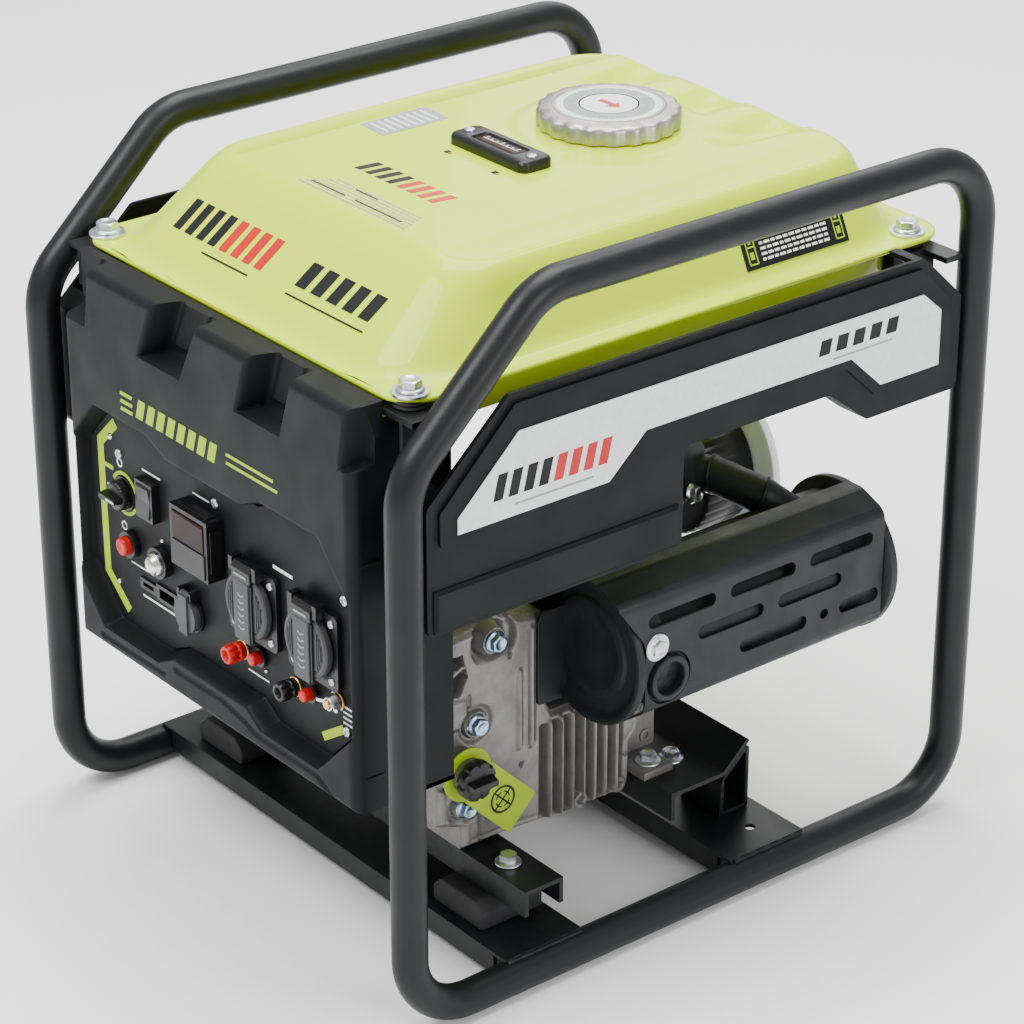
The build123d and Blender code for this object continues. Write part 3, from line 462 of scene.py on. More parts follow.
def add_box(bm, x_range, y_range, z_range):
    (x0, x1), (y0, y1) = x_range, y_range
    add_prism(bm, "z", [(x0, y0), (x1, y0), (x1, y1), (x0, y1)], *z_range)


def add_lathe(bm, axis, profile, a, b, steps=48, ripple=None):
    """Turned shape from (radius, place along the axis) points; ripple changes the radius by angle."""
    loops = []
    for radius, t in profile:
        loop = []
        for i in range(steps):
            angle = 2 * pi * i / steps
            r = radius + (ripple(angle, radius, t) if ripple else 0.0)
            loop.append(place(axis, a + r * cos(angle), b + r * sin(angle), t))
        loops.append(loop)
    add_loops(bm, loops, cap_start=profile[0][0] > 0, cap_end=profile[-1][0] > 0)


def rounded(points, radius, steps=6):
    """Outline with its corners rounded; radius is one number or one for each corner."""
    count = len(points)
    radii = radius if isinstance(radius, (list, tuple)) else [radius] * count
    out = []
    for i, (x, y) in enumerate(points):
        here = Vector((x, y))
        before = Vector(points[i - 1]) - here
        after = Vector(points[(i + 1) % count]) - here
        turn = pi - before.angle(after)
        if radii[i] <= 0 or turn < 0.02:
            out.append((x, y))
            continue
        reach = min(radii[i] * tan(turn / 2), before.length * 0.49, after.length * 0.49)
        start, end = here + before.normalized() * reach, here + after.normalized() * reach
        for k in range(steps + 1):
            t = k / steps
            p = start * (1 - t) ** 2 + here * (2 * t * (1 - t) * 0.93) + end * t**2
            weight = (1 - t) ** 2 + 2 * t * (1 - t) * 0.93 + t**2
            out.append(tuple(p / weight))
    return out


def rounded_rect(width, depth, radius, x=0.0, y=0.0, steps=8):
    w, d = width / 2, depth / 2
    corners = [(w - radius, -d + radius, -90), (w - radius, d - radius, 0)]
    corners += [(-w + radius, d - radius, 90), (-w + radius, -d + radius, 180)]
    out = []
    for cx, cy, start in corners:
        for k in range(steps + 1):
            angle = radians(start + 90 * k / steps)
            out.append((x + cx + radius * cos(angle), y + cy + radius * sin(angle)))
    return out


def add_tube(bm, path, radius, steps=24, closed=False, radii=None):
    """Round tube along a path of points in metres; the radius is in millimetres."""
    count = len(path)
    up = Vector((0, 0, 1))
    rings = []
    side = None
    for i, p in enumerate(path):
        if closed:
            tangent = (path[(i + 1) % count] - path[i - 1]).normalized()
        else:
            tangent = (path[min(i + 1, count - 1)] - path[max(i - 1, 0)]).normalized()
        if side is None:
            side = tangent.cross(up)
            if side.length < 0.1:
                side = tangent.cross(Vector((1, 0, 0)))
        side = (side - tangent * side.dot(tangent)).normalized()
        other = tangent.cross(side)
        r = (radii[i] if radii else radius) * MM
        turn = [2 * pi * k / steps for k in range(steps)]
        rings.append([p + (side * cos(a) + other * sin(a)) * r for a in turn])
    add_loops(bm, rings, wrap=closed, cap_start=not closed, cap_end=not closed)


def hex_radius(angle, flats):
    """Distance from the middle to the side of a hexagon, at an angle."""
    sector = (angle + pi / 6) % (pi / 3) - pi / 6
    return flats / 2 / cos(sector)


def add_bolt(bm, at, direction, flats=10.0, head=5.0, flange_r=8.5, flange_t=1.6, washer=None, turn=0.0):
    """Flange bolt head with a coned flange, chamfered corners and a dished top."""
    axis = Vector(direction).normalized()
    side = axis.orthogonal().normalized()
    other = axis.cross(side)
    steps = 48
    base = Vector(at) * MM
    corner = flats / 2 / cos(pi / 6)

    def ring(radius_at, level_at):
        points = []
        for i in range(steps):
            angle = 2 * pi * i / steps
            r = radius_at(angle)
            spin = angle + turn
            out = (side * cos(spin) + other * sin(spin)) * r
            points.append(base + (out + axis * level_at(angle, r)) * MM)
        return points

    loops = []
    low = 0.0
    if washer:
        washer_r, washer_t = washer
        inner = washer_r - 0.3
        rim = [(3, 0), (inner, 0), (washer_r, 0.3), (washer_r, washer_t - 0.3), (inner, washer_t)]
        loops += [ring(lambda a, r=r: r, lambda a, r, t=t: t) for r, t in rim]
        low = washer_t
    flange = [(flange_r - 0.4, 0), (flange_r, 0.4), (flange_r - 0.3, flange_t * 0.7)]
    flange.append((corner + 0.5, flange_t + 0.3))
    loops += [ring(lambda a, r=r: r, lambda a, r, t=t: low + t) for r, t in flange]
    top = low + flange_t + head
    loops.append(ring(lambda a: hex_radius(a, flats), lambda a, r: low + flange_t + 0.5))
    loops.append(ring(lambda a: hex_radius(a, flats), lambda a, r: top - 0.55 * (r - flats / 2 * 0.94)))
    loops.append(ring(lambda a: flats / 2 * 0.93, lambda a, r: top))
    loops.append(ring(lambda a: flats / 2 * 0.72, lambda a, r: top))
    loops.append(ring(lambda a: flats / 2 * 0.60, lambda a, r: top - 0.5))
    add_loops(bm, loops, **CAPPED)


def arc_points(centre, radius, start, end, steps):
    """Points of an arc in two dimensions, angles in degrees."""
    turns = [radians(start + (end - start) * k / steps) for k in range(steps + 1)]
    return [(centre[0] + radius * cos(a), centre[1] + radius * sin(a)) for a in turns]


def mm_box(node):
    """A node's lowest and highest corners, in millimetres."""
    low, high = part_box(node)
    return low / MM, high / MM


# ---------------------------------------------------------------- tube frame
def bend_path(corners, radius, steps=14):
    """Closed path with round bends, as points in two dimensions."""
    count = len(corners)
    out = []
    for i, corner in enumerate(corners):
        here = Vector(corner)
        before = (Vector(corners[i - 1]) - here).normalized()
        after = (Vector(corners[(i + 1) % count]) - here).normalized()
        turn = pi - before.angle(after)
        reach = radius * tan(turn / 2)
        middle = here + (before + after).normalized() * (radius / cos(turn / 2))
        first = here + before * reach - middle
        sign = 1 if first.cross(here + after * reach - middle) > 0 else -1
        base = atan2(first.y, first.x)
        for k in range(steps + 1):
            a = base + sign * turn * k / steps
            out.append(middle + Vector((cos(a), sin(a))) * radius)
    return out


def make_hoop(side, name):
    low, high = mm_box(name)
    tube_r = (high.x - low.x) / 2
    x = (high.x + low.x) / 2
    y_front, y_rear = low.y + tube_r, high.y - tube_r
    z_low, z_high = low.z + tube_r, high.z - tube_r
    slant_y, slant_z, bend_r = -127.1, 366.9, 44.0
    corners = [(y_rear, z_low), (y_rear, z_high), (slant_y, z_high), (y_front, slant_z), (y_front, z_low)]
    path = [Vector((x, p.x, p.y)) * MM for p in bend_path(corners, bend_r)]
    bm = bmesh.new()
    add_tube(bm, path, tube_r, steps=40, closed=True)
    finish_mesh("hoop_tube_" + side, bm, "frame_paint", sharp=60, cad=name)
    bm = bmesh.new()
    reach, beads = 29.0, 17
    radii = [1.5 + 0.35 * sin(k * 1.9) for k in range(beads)]
    for y in (-121.0, 64.0):
        points = []
        for k in range(beads):
            along = y - reach + 2 * reach * k / (beads - 1)
            points.append(Vector((x + 0.5, along, 22.4 + 0.105 * sin(k * 2.3 + y))) * MM)
        add_tube(bm, points, None, steps=10, radii=radii)
    finish_mesh("plate_weld_" + side, bm, "frame_paint", sharp=70)


# ---------------------------------------------------------------- fuel tank
TANK_FLANGE = 402.0
TANK_TOP = 455.0
TANK_RISE = TANK_TOP - TANK_FLANGE
CAP_X, CAP_Y = 0.0, 83.0
TANK_BOLTS = ((155.7, -192.8), (-155.7, -192.8), (154.0, 196.7), (-154.0, 196.7))


def smoothstep(edge0, edge1, value):
    t = min(1.0, max(0.0, (value - edge0) / (edge1 - edge0)))
    return t * t * (3 - 2 * t)


def tank_crown(x, y):
    """Height of the pressed top: a crown, sloping sides, a ring under the cap and three rear flutes."""
    from_cap = sqrt((x - CAP_X) ** 2 + (y - CAP_Y) ** 2)
    ring = smoothstep(64, 57, from_cap)
    z = TANK_TOP + 0.8 * (1 - (x / 131) ** 2)
    slope = max(0.0, abs(x) - 102)
    z -= (0.12 * slope + 0.5 * smoothstep(0, 4, slope)) * (1 - ring)
    rear = smoothstep(104, 158, y)
    for centre in (-66, 3, 62):
        z -= 8.5 * rear * smoothstep(19, 7, abs(x - centre)) * (1 - ring)
    return z + ring * max(0.0, TANK_TOP + 1.4 - z)


def fine_rect(width, depth, radius, y):
    """Rounded rectangle with points along its sides, so that every loop has the same fine spacing."""
    arc, side = 27, 24
    points = rounded_rect(width, depth, radius, 0, y, steps=arc - 1)
    out = []
    for corner in range(4):
        block = points[corner * arc : (corner + 1) * arc]
        out += block
        start, end = block[-1], points[((corner + 1) * arc) % len(points)]
        for k in range(1, side):
            t = k / side
            out.append((start[0] + (end[0] - start[0]) * t, start[1] + (end[1] - start[1]) * t))
    return out


def level_loop(points, z):
    return [Vector((x, y, z)) * MM for x, y in points]


def make_tank():
    loops = []

    def add(width, depth, radius, y, z):
        loops.append(level_loop(fine_rect(width, depth, radius, y), z))

    foot_size, top_size = (314.0, 410.0, 57.0, 5.0), (262.0, 322.0, 34.0, 23.0)

    def wall(share):
        """Width, depth, corner radius and middle of the sloping wall, at a share of its height."""
        return [a + (b - a) * share for a, b in zip(foot_size, top_size)]

    add(332.0, 425.0, 22, 7.5, 398.8)
    add(335.2, 428.2, 23.6, 7.5, 399.2)
    add(336.0, 429.0, 24, 7.5, 400.4)
    add(335.6, 428.6, 24, 7.5, 401.6)
    add(333.6, 426.6, 23, 7.5, 402.2)
    add(330.0, 423.0, 22, 7.5, 402.2)
    foot = 7.0
    for k in range(5):
        t = k / 4
        grow = foot * (1 - t) ** 2
        lift = 402.2 + foot * 0.9 * t**2
        width, depth, radius, middle = wall(max(0.0, lift - TANK_FLANGE) / TANK_RISE)
        add(width + 2 * grow, depth + 2 * grow, radius + grow, middle, lift)
    straight_from, straight_to = 0.12, 0.78
    for k in range(1, 9):
        share = straight_from + (straight_to - straight_from) * k / 8
        add(*wall(share), TANK_FLANGE + TANK_RISE * share)
    shoulder = 6.2
    for k in range(1, 11):
        t = k / 10
        share = straight_to + (1 - straight_to) * (1 - (1 - t) ** 1.9)
        width, depth, radius, middle = wall(share)
        shrink = shoulder * t**1.7
        corner = max(12.0, radius - shrink * 0.6)
        add(width - 2 * shrink, depth - 2 * shrink, corner, middle, TANK_FLANGE + TANK_RISE * share)
    settled = len(loops)
    rim_width, rim_depth, rim_radius = top_size[0] - 2 * shoulder, top_size[1] - 2 * shoulder, 30.3
    crown_loops = 46
    for k in range(1, crown_loops):
        t = 1 - k / crown_loops
        add(rim_width * t, rim_depth * t, rim_radius * t, top_size[3], TANK_TOP)
    for depth, loop in enumerate(loops[settled - 7 :], settled - 7):
        blend = smoothstep(settled - 8, settled + 3, depth)
        for point in loop:
            x, y = point.x / MM, point.y / MM
            point.z += (tank_crown(x, y) - TANK_TOP) * blend * MM
    bm = bmesh.new()
    add_loops(bm, loops, cap_end=True)
    tank = finish_mesh("tank_pressing", bm, "tank_paint", sharp=80, cad="tank_upper_shell")
    thick = tank.modifiers.new("sheet", "SOLIDIFY")
    thick.thickness = 0.0012
    thick.offset = -1.0


def make_tank_pan():
    bm = bmesh.new()
    rows = [(304, 402, 24, 399.4), (304, 402, 24, 397.6), (296, 393, 20, 395.6), (294, 391, 19, 392)]
    rows += [(292, 389, 18, 374), (289, 386, 17, 371.6), (284, 381, 15, 371.0), (200, 280, 10, 371)]
    rows.append((100, 150, 5, 371))
    loops = [level_loop(fine_rect(width, depth, radius, 0.5), z) for width, depth, radius, z in rows]
    add_loops(bm, loops, cap_end=True)
    pan = finish_mesh("tank_pan_pressing", bm, "tank_paint", sharp=50, cad="tank_lower_pan")
    thick = pan.modifiers.new("sheet", "SOLIDIFY")
    thick.thickness = 0.0012
    # Painted shade: black blocks fill the gap between the pan's rear corners and the rear bracket, standing
    # in for the shade there.
    bm = bmesh.new()
    for side in (-1, 1):
        add_box(bm, sorted((side * 112, side * 150)), (190.0, 216.0), (372.0, 398.0))
    finish_mesh("tank_rear_shade_blocks", bm, "frame_paint", sharp=30, bevel=0.0008)


def make_tank_bolts():
    bm = bmesh.new()
    for x, y in TANK_BOLTS:
        at = (x, y, TANK_FLANGE + 0.2)
        add_bolt(bm, at, (0, 0, 1), 12, 5.2, flange_r=8.6, washer=(11.5, 1.8), turn=x * 0.01)
    finish_mesh("tank_bolt_heads", bm, "zinc", sharp=40, cad="tank_bolts")
    bm = bmesh.new()
    profile = [(4.2, 395), (10, 395), (11, 396), (10.2, 397.4), (11, 398.8), (10, 399.9), (4.2, 399.9)]
    for x, y in TANK_BOLTS:
        add_lathe(bm, "z", profile, x, y, steps=40)
    finish_mesh("tank_bolt_grommets", bm, "rubber", sharp=50, cad="tank_grommets")


def make_cap():
    low, high = mm_box("fuel_cap")
    top = high.z
    lobes = 20

    def grip(angle, radius, z):
        if radius < 38:
            return 0.0
        wave = 0.5 + 0.5 * cos(lobes * angle)
        fade = smoothstep(37, 45, radius)
        return -1.7 * fade * (1 - wave) ** 1.3

    drops = [(46.0, 3.4), (45.2, 1.9), (43.2, 1.0), (38.0, 0.55), (36.5, 0.5), (36.0, 0.9), (35.5, 0.9)]
    drops += [(35.0, 0.45), (24.0, 0.15), (0.001, 0.0)]
    profile = [(41.0, low.z), (45.0, low.z), (46.0, low.z + 0.8)] + [(r, top - drop) for r, drop in drops]
    bm = bmesh.new()
    add_lathe(bm, "z", profile, CAP_X, CAP_Y, steps=192, ripple=grip)
    finish_mesh("fuel_cap_shell", bm, "cap_metal", body="cap", sharp=38, cad="fuel_cap")
    bm = bmesh.new()
    disc = [(33.5, top - 0.42), (33.5, top - 0.02), (32.9, top + 0.04), (0.001, top + 0.22)]
    add_lathe(bm, "z", disc, CAP_X, CAP_Y, steps=96)
    finish_mesh("fuel_cap_disc", bm, "decal_film", body="cap", sharp=50)
    bm = bmesh.new()
    for radius, width in ((29.0, 0.9), (20.0, 0.7)):
        inner = radius - width
        ring = [(inner, top + 0.12), (inner, top + 0.24), (radius, top + 0.22), (radius, top + 0.1)]
        add_lathe(bm, "z", ring + ring[:1], CAP_X, CAP_Y, steps=96)
    for k in range(40):
        if k % 10 in (0, 9):
            continue
        angle = 2 * pi * k / 40
        centre = Vector((CAP_X + 24.5 * cos(angle), CAP_Y + 24.5 * sin(angle)))
        out, across = Vector((cos(angle), sin(angle))), Vector((-sin(angle), cos(angle)))
        reach = 2.6 if k % 3 == 0 else 1.6
        corners = [centre + out * s * reach + across * w * 0.55 for s, w in CORNERS]
        add_prism(bm, "z", [(c.x, c.y) for c in corners], top + 0.10, top + 0.30)
    finish_mesh("fuel_cap_scale_print", bm, "grey_ink", body="cap", sharp=30)
    bm = bmesh.new()
    arrow = [(-9, -2.2), (3, -2.2), (3, -6), (10, 0), (3, 6), (3, 2.2), (-9, 2.2)]
    add_prism(bm, "z", [(CAP_X + a, CAP_Y + b) for a, b in arrow], top + 0.10, top + 0.30)
    finish_mesh("fuel_cap_arrow_print", bm, "red_plastic", body="cap", sharp=30)


def make_gauge():
    low, high = mm_box("fuel_gauge")
    middle_y = (low.y + high.y) / 2
    base = TANK_TOP + 0.6
    top = high.z
    bm = bmesh.new()
    frame_rows = [(75, 25, 6, base), (75, 25, 6, top - 2.2), (73.2, 23.2, 5.4, top - 0.6), (71, 21, 4.6, top)]
    frame_rows += [(44, 14, 2.4, top), (42.6, 12.6, 2.0, top - 0.8), (42, 12, 1.8, top - 2.6)]
    add_loops(bm, [level_loop(rounded_rect(w, d, r, 0, middle_y), z) for w, d, r, z in frame_rows], **CAPPED)
    finish_mesh("gauge_bezel", bm, "gloss_black", sharp=32, cad="fuel_gauge")
    bm = bmesh.new()
    lens = [(42.4, 12.4, 1.9, top - 1.3), (41.6, 11.6, 1.7, top - 0.9), (30, 6, 1.0, top - 0.6)]
    add_loops(bm, [level_loop(rounded_rect(w, d, r, 0, middle_y), z) for w, d, r, z in lens], **CAPPED)
    finish_mesh("gauge_lens", bm, "smoked_plastic", sharp=50)
    bm = bmesh.new()
    level = (top - 0.75, top - 0.52)
    for k in range(7):
        x = -15 + 5 * k
        tick = 3.6 if k % 3 == 0 else 2.4
        add_box(bm, (x - 0.35, x + 0.35), (middle_y + 0.5, middle_y + tick), level)
    add_box(bm, (-16.5, 16.5), (middle_y - 0.2, middle_y + 0.3), level)
    finish_mesh("gauge_scale_print", bm, "white_ink", sharp=30)
    bm = bmesh.new()
    for x in (-30.5, 30.5):
        add_screw(bm, (x, middle_y, top), (0, 0, 1), 3.3, 1.4)
    finish_mesh("gauge_screws", bm, "zinc", sharp=35)


def add_screw(bm, at, direction, radius, height, slot_turn=0.6):
    """Pan-head screw with a cross recess cut into its dome."""
    axis = Vector(direction).normalized()
    side = axis.orthogonal().normalized()
    other = axis.cross(side)
    base = Vector(at) * MM
    steps = 48
    loops = []
    for share, level in ((1.0, 0.0), (1.0, 0.45), (0.93, 0.72), (0.78, 0.90), (0.62, 0.98)):
        loops.append((share, level, 0))
    loops += [(0.50, 1.0, 0), (0.40, 1.0, 0.55), (0.20, 0.95, 0.6)]
    rings = []
    for share, level, cut in loops:
        ring = []
        for i in range(steps):
            angle = 2 * pi * i / steps
            cross = max(abs(cos(2 * angle)) - 0.55, 0.0) / 0.45
            z = height * (level - cut * (1 if cross > 0.2 else 0))
            spin = angle + slot_turn
            out = (side * cos(spin) + other * sin(spin)) * radius * share
            ring.append(base + (out + axis * z) * MM)
        rings.append(ring)
    add_loops(bm, rings, **CAPPED)


# ---------------------------------------------------------------- front panel
PANEL_FRONT = -232.5
PANEL_HALF = 151.0
PANEL_LOW, PANEL_HIGH = 139.0, 400.0
POCKET_FLOOR = -214.5
PLATE_FACE = -220.0
RECESS = [(-118, 305), (-62, 305), (-40, 296), (40, 296), (60, 305), (115, 305), (142, 275), (142, 190)]
RECESS += [(110, 158), (55, 158), (40, 168), (-40, 168), (-60, 158), (-118, 158), (-146, 190), (-146, 275)]
POCKETS = [
    ([(-165, 360), (-124, 360), (-116, 410), (-165, 410)], (3.5, 3.0, 3.0, 4.0)),
    ([(-67, 360), (-20, 360), (5, 410), (-44, 410)], (3.5, 3.0, 3.0, 9.0)),
    ([(36, 360), (83, 360), (99, 410), (54, 410)], (3.5, 3.0, 3.0, 9.0)),
    ([(139, 360), (165, 360), (165, 410), (148, 410)], (3.5, 3.0, 3.0, 9.0)),
]


def segment_distance(a, b, x, z):
    ex, ez = b[0] - a[0], b[1] - a[1]
    t = np.clip(((x - a[0]) * ex + (z - a[1]) * ez) / (ex * ex + ez * ez), 0, 1)
    return np.hypot(x - a[0] - t * ex, z - a[1] - t * ez)


def line_distance(points, x, z):
    best = np.full(x.shape, 1e6)
    for a, b in zip(points, points[1:]):
        best = np.minimum(best, segment_distance(a, b, x, z))
    return best


def outline_distance(points, x, z):
    """Signed distance to a closed outline, positive inside it."""
    inside = np.zeros(x.shape, dtype=bool)
    for a, b in zip(points, points[1:] + points[:1]):
        rise = b[1] - a[1] if b[1] != a[1] else 1e-9
        crosses = (a[1] > z) != (b[1] > z)
        inside ^= crosses & (x < (b[0] - a[0]) * (z - a[1]) / rise + a[0])
    best = line_distance(points + points[:1], x, z)
    return np.where(inside, best, -best)


def drafted(points, widths, x, z):
    """0 outside a convex pocket and 1 on its floor, with its own draft on every side."""
    depth = np.ones(x.shape)
    for i, a in enumerate(points):
        b = points[(i + 1) % len(points)]
        length = sqrt((b[0] - a[0]) ** 2 + (b[1] - a[1]) ** 2)
        inside = ((b[0] - a[0]) * (z - a[1]) - (b[1] - a[1]) * (x - a[0])) / length
        depth = np.minimum(depth, np.clip(inside / widths[i], 0, 1))
    return eased(depth)


def eased(t):
    t = np.clip(t, 0, 1)
    return t * t * (3 - 2 * t)


def edge_round(distance, radius):
    reach = np.clip(radius - distance, 0, radius)
    return radius - np.sqrt(radius * radius - reach * reach)


def grid_lines(low, high, step):
    """Even lines between two ends, closer together next to them."""
    near = [0, 0.15, 0.5, 1.1, 1.9, 2.9, 3.9, 4.9, 5.9, 6.9]
    inner = np.arange(low + near[-1] + step, high - near[-1], step)
    return np.array([low + v for v in near] + list(inner) + [high - v for v in reversed(near)])


def panel_surface(x, z):
    y = PANEL_FRONT + np.maximum(edge_round(PANEL_HALF - np.abs(x), 8.0), edge_round(z - PANEL_LOW, 5.0))
    y = np.maximum(y, PANEL_FRONT + edge_round(PANEL_HIGH - z, 6.0))
    for points, widths in POCKETS:
        floor = PANEL_FRONT + (POCKET_FLOOR - PANEL_FRONT) * drafted(points, widths, x, z)
        (x0, z0), (x1, _), (x2, z2), (x3, _) = points  # the lower two corners, then the upper two
        lean = (x3 - x0) / (z2 - z0)
        inner = [(x0 + 13 + lean * 7, z0 + 8), (x1 - 8 + lean * 7, z0 + 8), (x2 - 8, z2), (x3 + 13, z2)]
        floor -= 1.6 * drafted(inner, (1.4, 1.4, 1.4, 1.4), x, z)
        lip = line_distance([(x0, z0 + 2.4), (x1, z0 + 2.4)], x, z)
        y = np.maximum(y, floor - 0.8 * eased(1 - lip / 2.0))
    edge = outline_distance(RECESS, x, z)
    y = np.maximum(y, PANEL_FRONT + (-217.9 - PANEL_FRONT) * eased((edge + 5.0) / 5.0))
    rim = eased(1 - np.abs(edge + 7.2) / 1.6) * (z < 200) * (np.abs(x) < 138)
    y = y - 0.7 * rim * (y < PANEL_FRONT + 1.0)
    long_groove = [(-39, 156.5), (12, 157.5), (36, 153), (48, 149), (110, 149.5), (124, 142)]
    for points in ([(-123, 147), (-52, 148.6)], long_groove):
        y = y + 1.3 * eased(1.25 - line_distance(points, x, z) / 2.2)
    slot = drafted([(46, 299.5), (66, 299.5), (66, 304.5), (46, 304.5)], (0.8, 0.8, 0.8, 0.8), x, z)
    return np.maximum(y, PANEL_FRONT + 7.0 * slot), edge


def make_panel():
    xs = grid_lines(-PANEL_HALF, PANEL_HALF, 1.05)
    zs = grid_lines(PANEL_LOW, PANEL_HIGH, 1.05)
    x, z = np.meshgrid(xs, zs)
    y, edge = panel_surface(x, z)
    y = np.maximum(y, PANEL_FRONT)
    bm = bmesh.new()
    rows = []
    for j in range(len(zs)):
        rows.append([bm.verts.new(Vector((xs[i], y[j, i], zs[j])) * MM) for i in range(len(xs))])
    for j in range(len(zs) - 1):
        for i in range(len(xs) - 1):
            if max(edge[j, i], edge[j + 1, i + 1]) < 2.0:
                bm.faces.new((rows[j][i], rows[j][i + 1], rows[j + 1][i + 1], rows[j + 1][i]))
    back = -209.0
    sides = [[row[0] for row in reversed(rows)], rows[0], [row[-1] for row in rows], list(reversed(rows[-1]))]
    for border in sides:
        behind = [bm.verts.new((v.co.x, back * MM, v.co.z)) for v in border]
        for i in range(len(border) - 1):
            bm.faces.new((border[i], behind[i], behind[i + 1], border[i + 1]))
    loose = [v for v in bm.verts if not v.link_faces]
    bmesh.ops.delete(bm, geom=loose, context="VERTS")
    finish_mesh("front_moulding", bm, "panel_plastic", sharp=50, cad="front_panel")

    bm = bmesh.new()
    rear = -160.0
    for side in (-1, 1):
        wall = [(PANEL_HALF, back), (PANEL_HALF, rear - 0.9), (PANEL_HALF - 0.9, rear)]
        wall += [(PANEL_HALF - 2.1, rear), (PANEL_HALF - 3, rear - 0.9), (PANEL_HALF - 3, back)]
        points = [(side * a, b) for a, b in wall]
        add_prism(bm, "z", points, PANEL_LOW, 388)
        for level in (160.0, 300.0):
            rib = [(side * (PANEL_HALF - 0.2), -226), (side * (PANEL_HALF + 0.9), -223.5)]
            rib += [(side * (PANEL_HALF + 0.9), -214), (side * (PANEL_HALF - 0.2), -211)]
            add_prism(bm, "z", rib, level, level + 2.2)
    floor = [(-PANEL_HALF, back), (PANEL_HALF, back), (PANEL_HALF, rear), (-PANEL_HALF, rear)]
    add_prism(bm, "z", floor, PANEL_LOW, PANEL_LOW + 3)
    finish_mesh("front_moulding_walls", bm, "panel_plastic", sharp=30)


def add_band(bm, path, width, y, thickness, closed=False):
    """Flat printed line of constant width along a path of (x, z) points, facing -Y."""
    count = len(path)
    left, right = [], []
    for i in range(count):
        here = Vector(path[i])
        before = Vector(path[i - 1]) if i or closed else None
        after = Vector(path[(i + 1) % count]) if i < count - 1 or closed else None
        first = (here - before).normalized() if before else (after - here).normalized()
        second = (after - here).normalized() if after else first
        normal = Vector((-first.y, first.x)) + Vector((-second.y, second.x))
        normal = normal.normalized()
        normal *= width / 2 / max(0.4, normal.dot(Vector((-first.y, first.x))))
        left.append(here + normal)
        right.append(here - normal)
    loops = []
    for i in range(count):
        corners = ((left[i], y), (left[i], y - thickness), (right[i], y - thickness), (right[i], y))
        loops.append([Vector((p.x, t, p.y)) * MM for p, t in corners])
    add_loops(bm, loops, wrap=closed, cap_start=not closed, cap_end=not closed)


def make_panel_prints():
    ink = 0.18

    def mark(outline):
        add_prism(bm, "y", outline, PANEL_FRONT - ink, PANEL_FRONT + 0.1)

    bm = bmesh.new()
    for k in range(3):
        z = 329.5 - 5.2 * k
        mark([(-87, z - 1.2), (-74, z - 1.2), (-73, z + 1.2), (-86, z + 1.2)])
    lean, wide = 4.0, 7.5
    for k in range(8):
        x = -70 + 11 * k
        mark([(x, 318.5), (x + wide, 318.5), (x + wide + lean, 331.5), (x + lean, 331.5)])
    for z, length in ((329, 48), (323.5, 52)):
        mark([(27, z - 1), (27 + length, z - 1), (27.6 + length, z + 1), (27.6, z + 1)])
    add_band(bm, [(-115, 295), (-133.5, 277), (-132.5, 186), (-109, 166)], 7.0, PLATE_FACE, ink)
    add_band(bm, [(101, 167), (122, 181)], 5.5, PLATE_FACE, ink)
    add_band(bm, [(-130, 262), (-120, 262)], 3.0, PLATE_FACE, ink * 0.9)
    add_band(bm, arc_points((-108, 249), 13.6, 150, 20, 14), 2.4, PLATE_FACE, ink * 0.8)
    add_band(bm, arc_points((-108, 249), 13.6, 215, 330, 14), 2.4, PLATE_FACE, ink * 0.8)
    finish_mesh("lime_panel_print", bm, "lime_ink", sharp=30)

    bm = bmesh.new()
    for x, z in ((-112, 269), (-110, 226)):
        add_band(bm, arc_points((x, z), 2.6, 0, 340, 18), 1.1, PLATE_FACE, ink)
    add_band(bm, [(-127.5, 249), (-121.5, 249)], 1.5, PLATE_FACE, ink)
    add_band(bm, [(-86, 274), (-66, 274)], 1.2, PLATE_FACE, ink)
    add_band(bm, [(-104, 203), (-72, 203)], 1.0, PLATE_FACE, ink)
    add_band(bm, [(-92, 184), (-52, 184)], 1.3, PLATE_FACE, ink)
    add_band(bm, [(-30, 279), (-12, 279)], 1.0, PLATE_FACE, ink)
    add_band(bm, [(54, 262), (74, 262)], 2.2, PLATE_FACE, ink)
    for k in range(4):
        add_band(bm, [(122, 186 + 3.6 * k), (131, 186 + 3.6 * k)], 1.1, PLATE_FACE, ink)
    add_band(bm, [(24, 180), (46, 180)], 1.0, PLATE_FACE, ink)
    finish_mesh("white_panel_print", bm, "white_ink", sharp=30)

    bm = bmesh.new()
    for x, z, r in ((-121, 284, 2.2), (-119, 183, 1.9), (-66, 232, 1.5), (44, 187, 1.4)):
        dome = ((r, 0.0), (r, 0.7), (r * 0.7, 1.6), (0.001, 2.0))
        profile = [(radius, PLATE_FACE - rise) for radius, rise in dome]
        add_lathe(bm, "y", profile, x, z, steps=24)
    finish_mesh("indicator_lamps", bm, "silver_button", sharp=60)


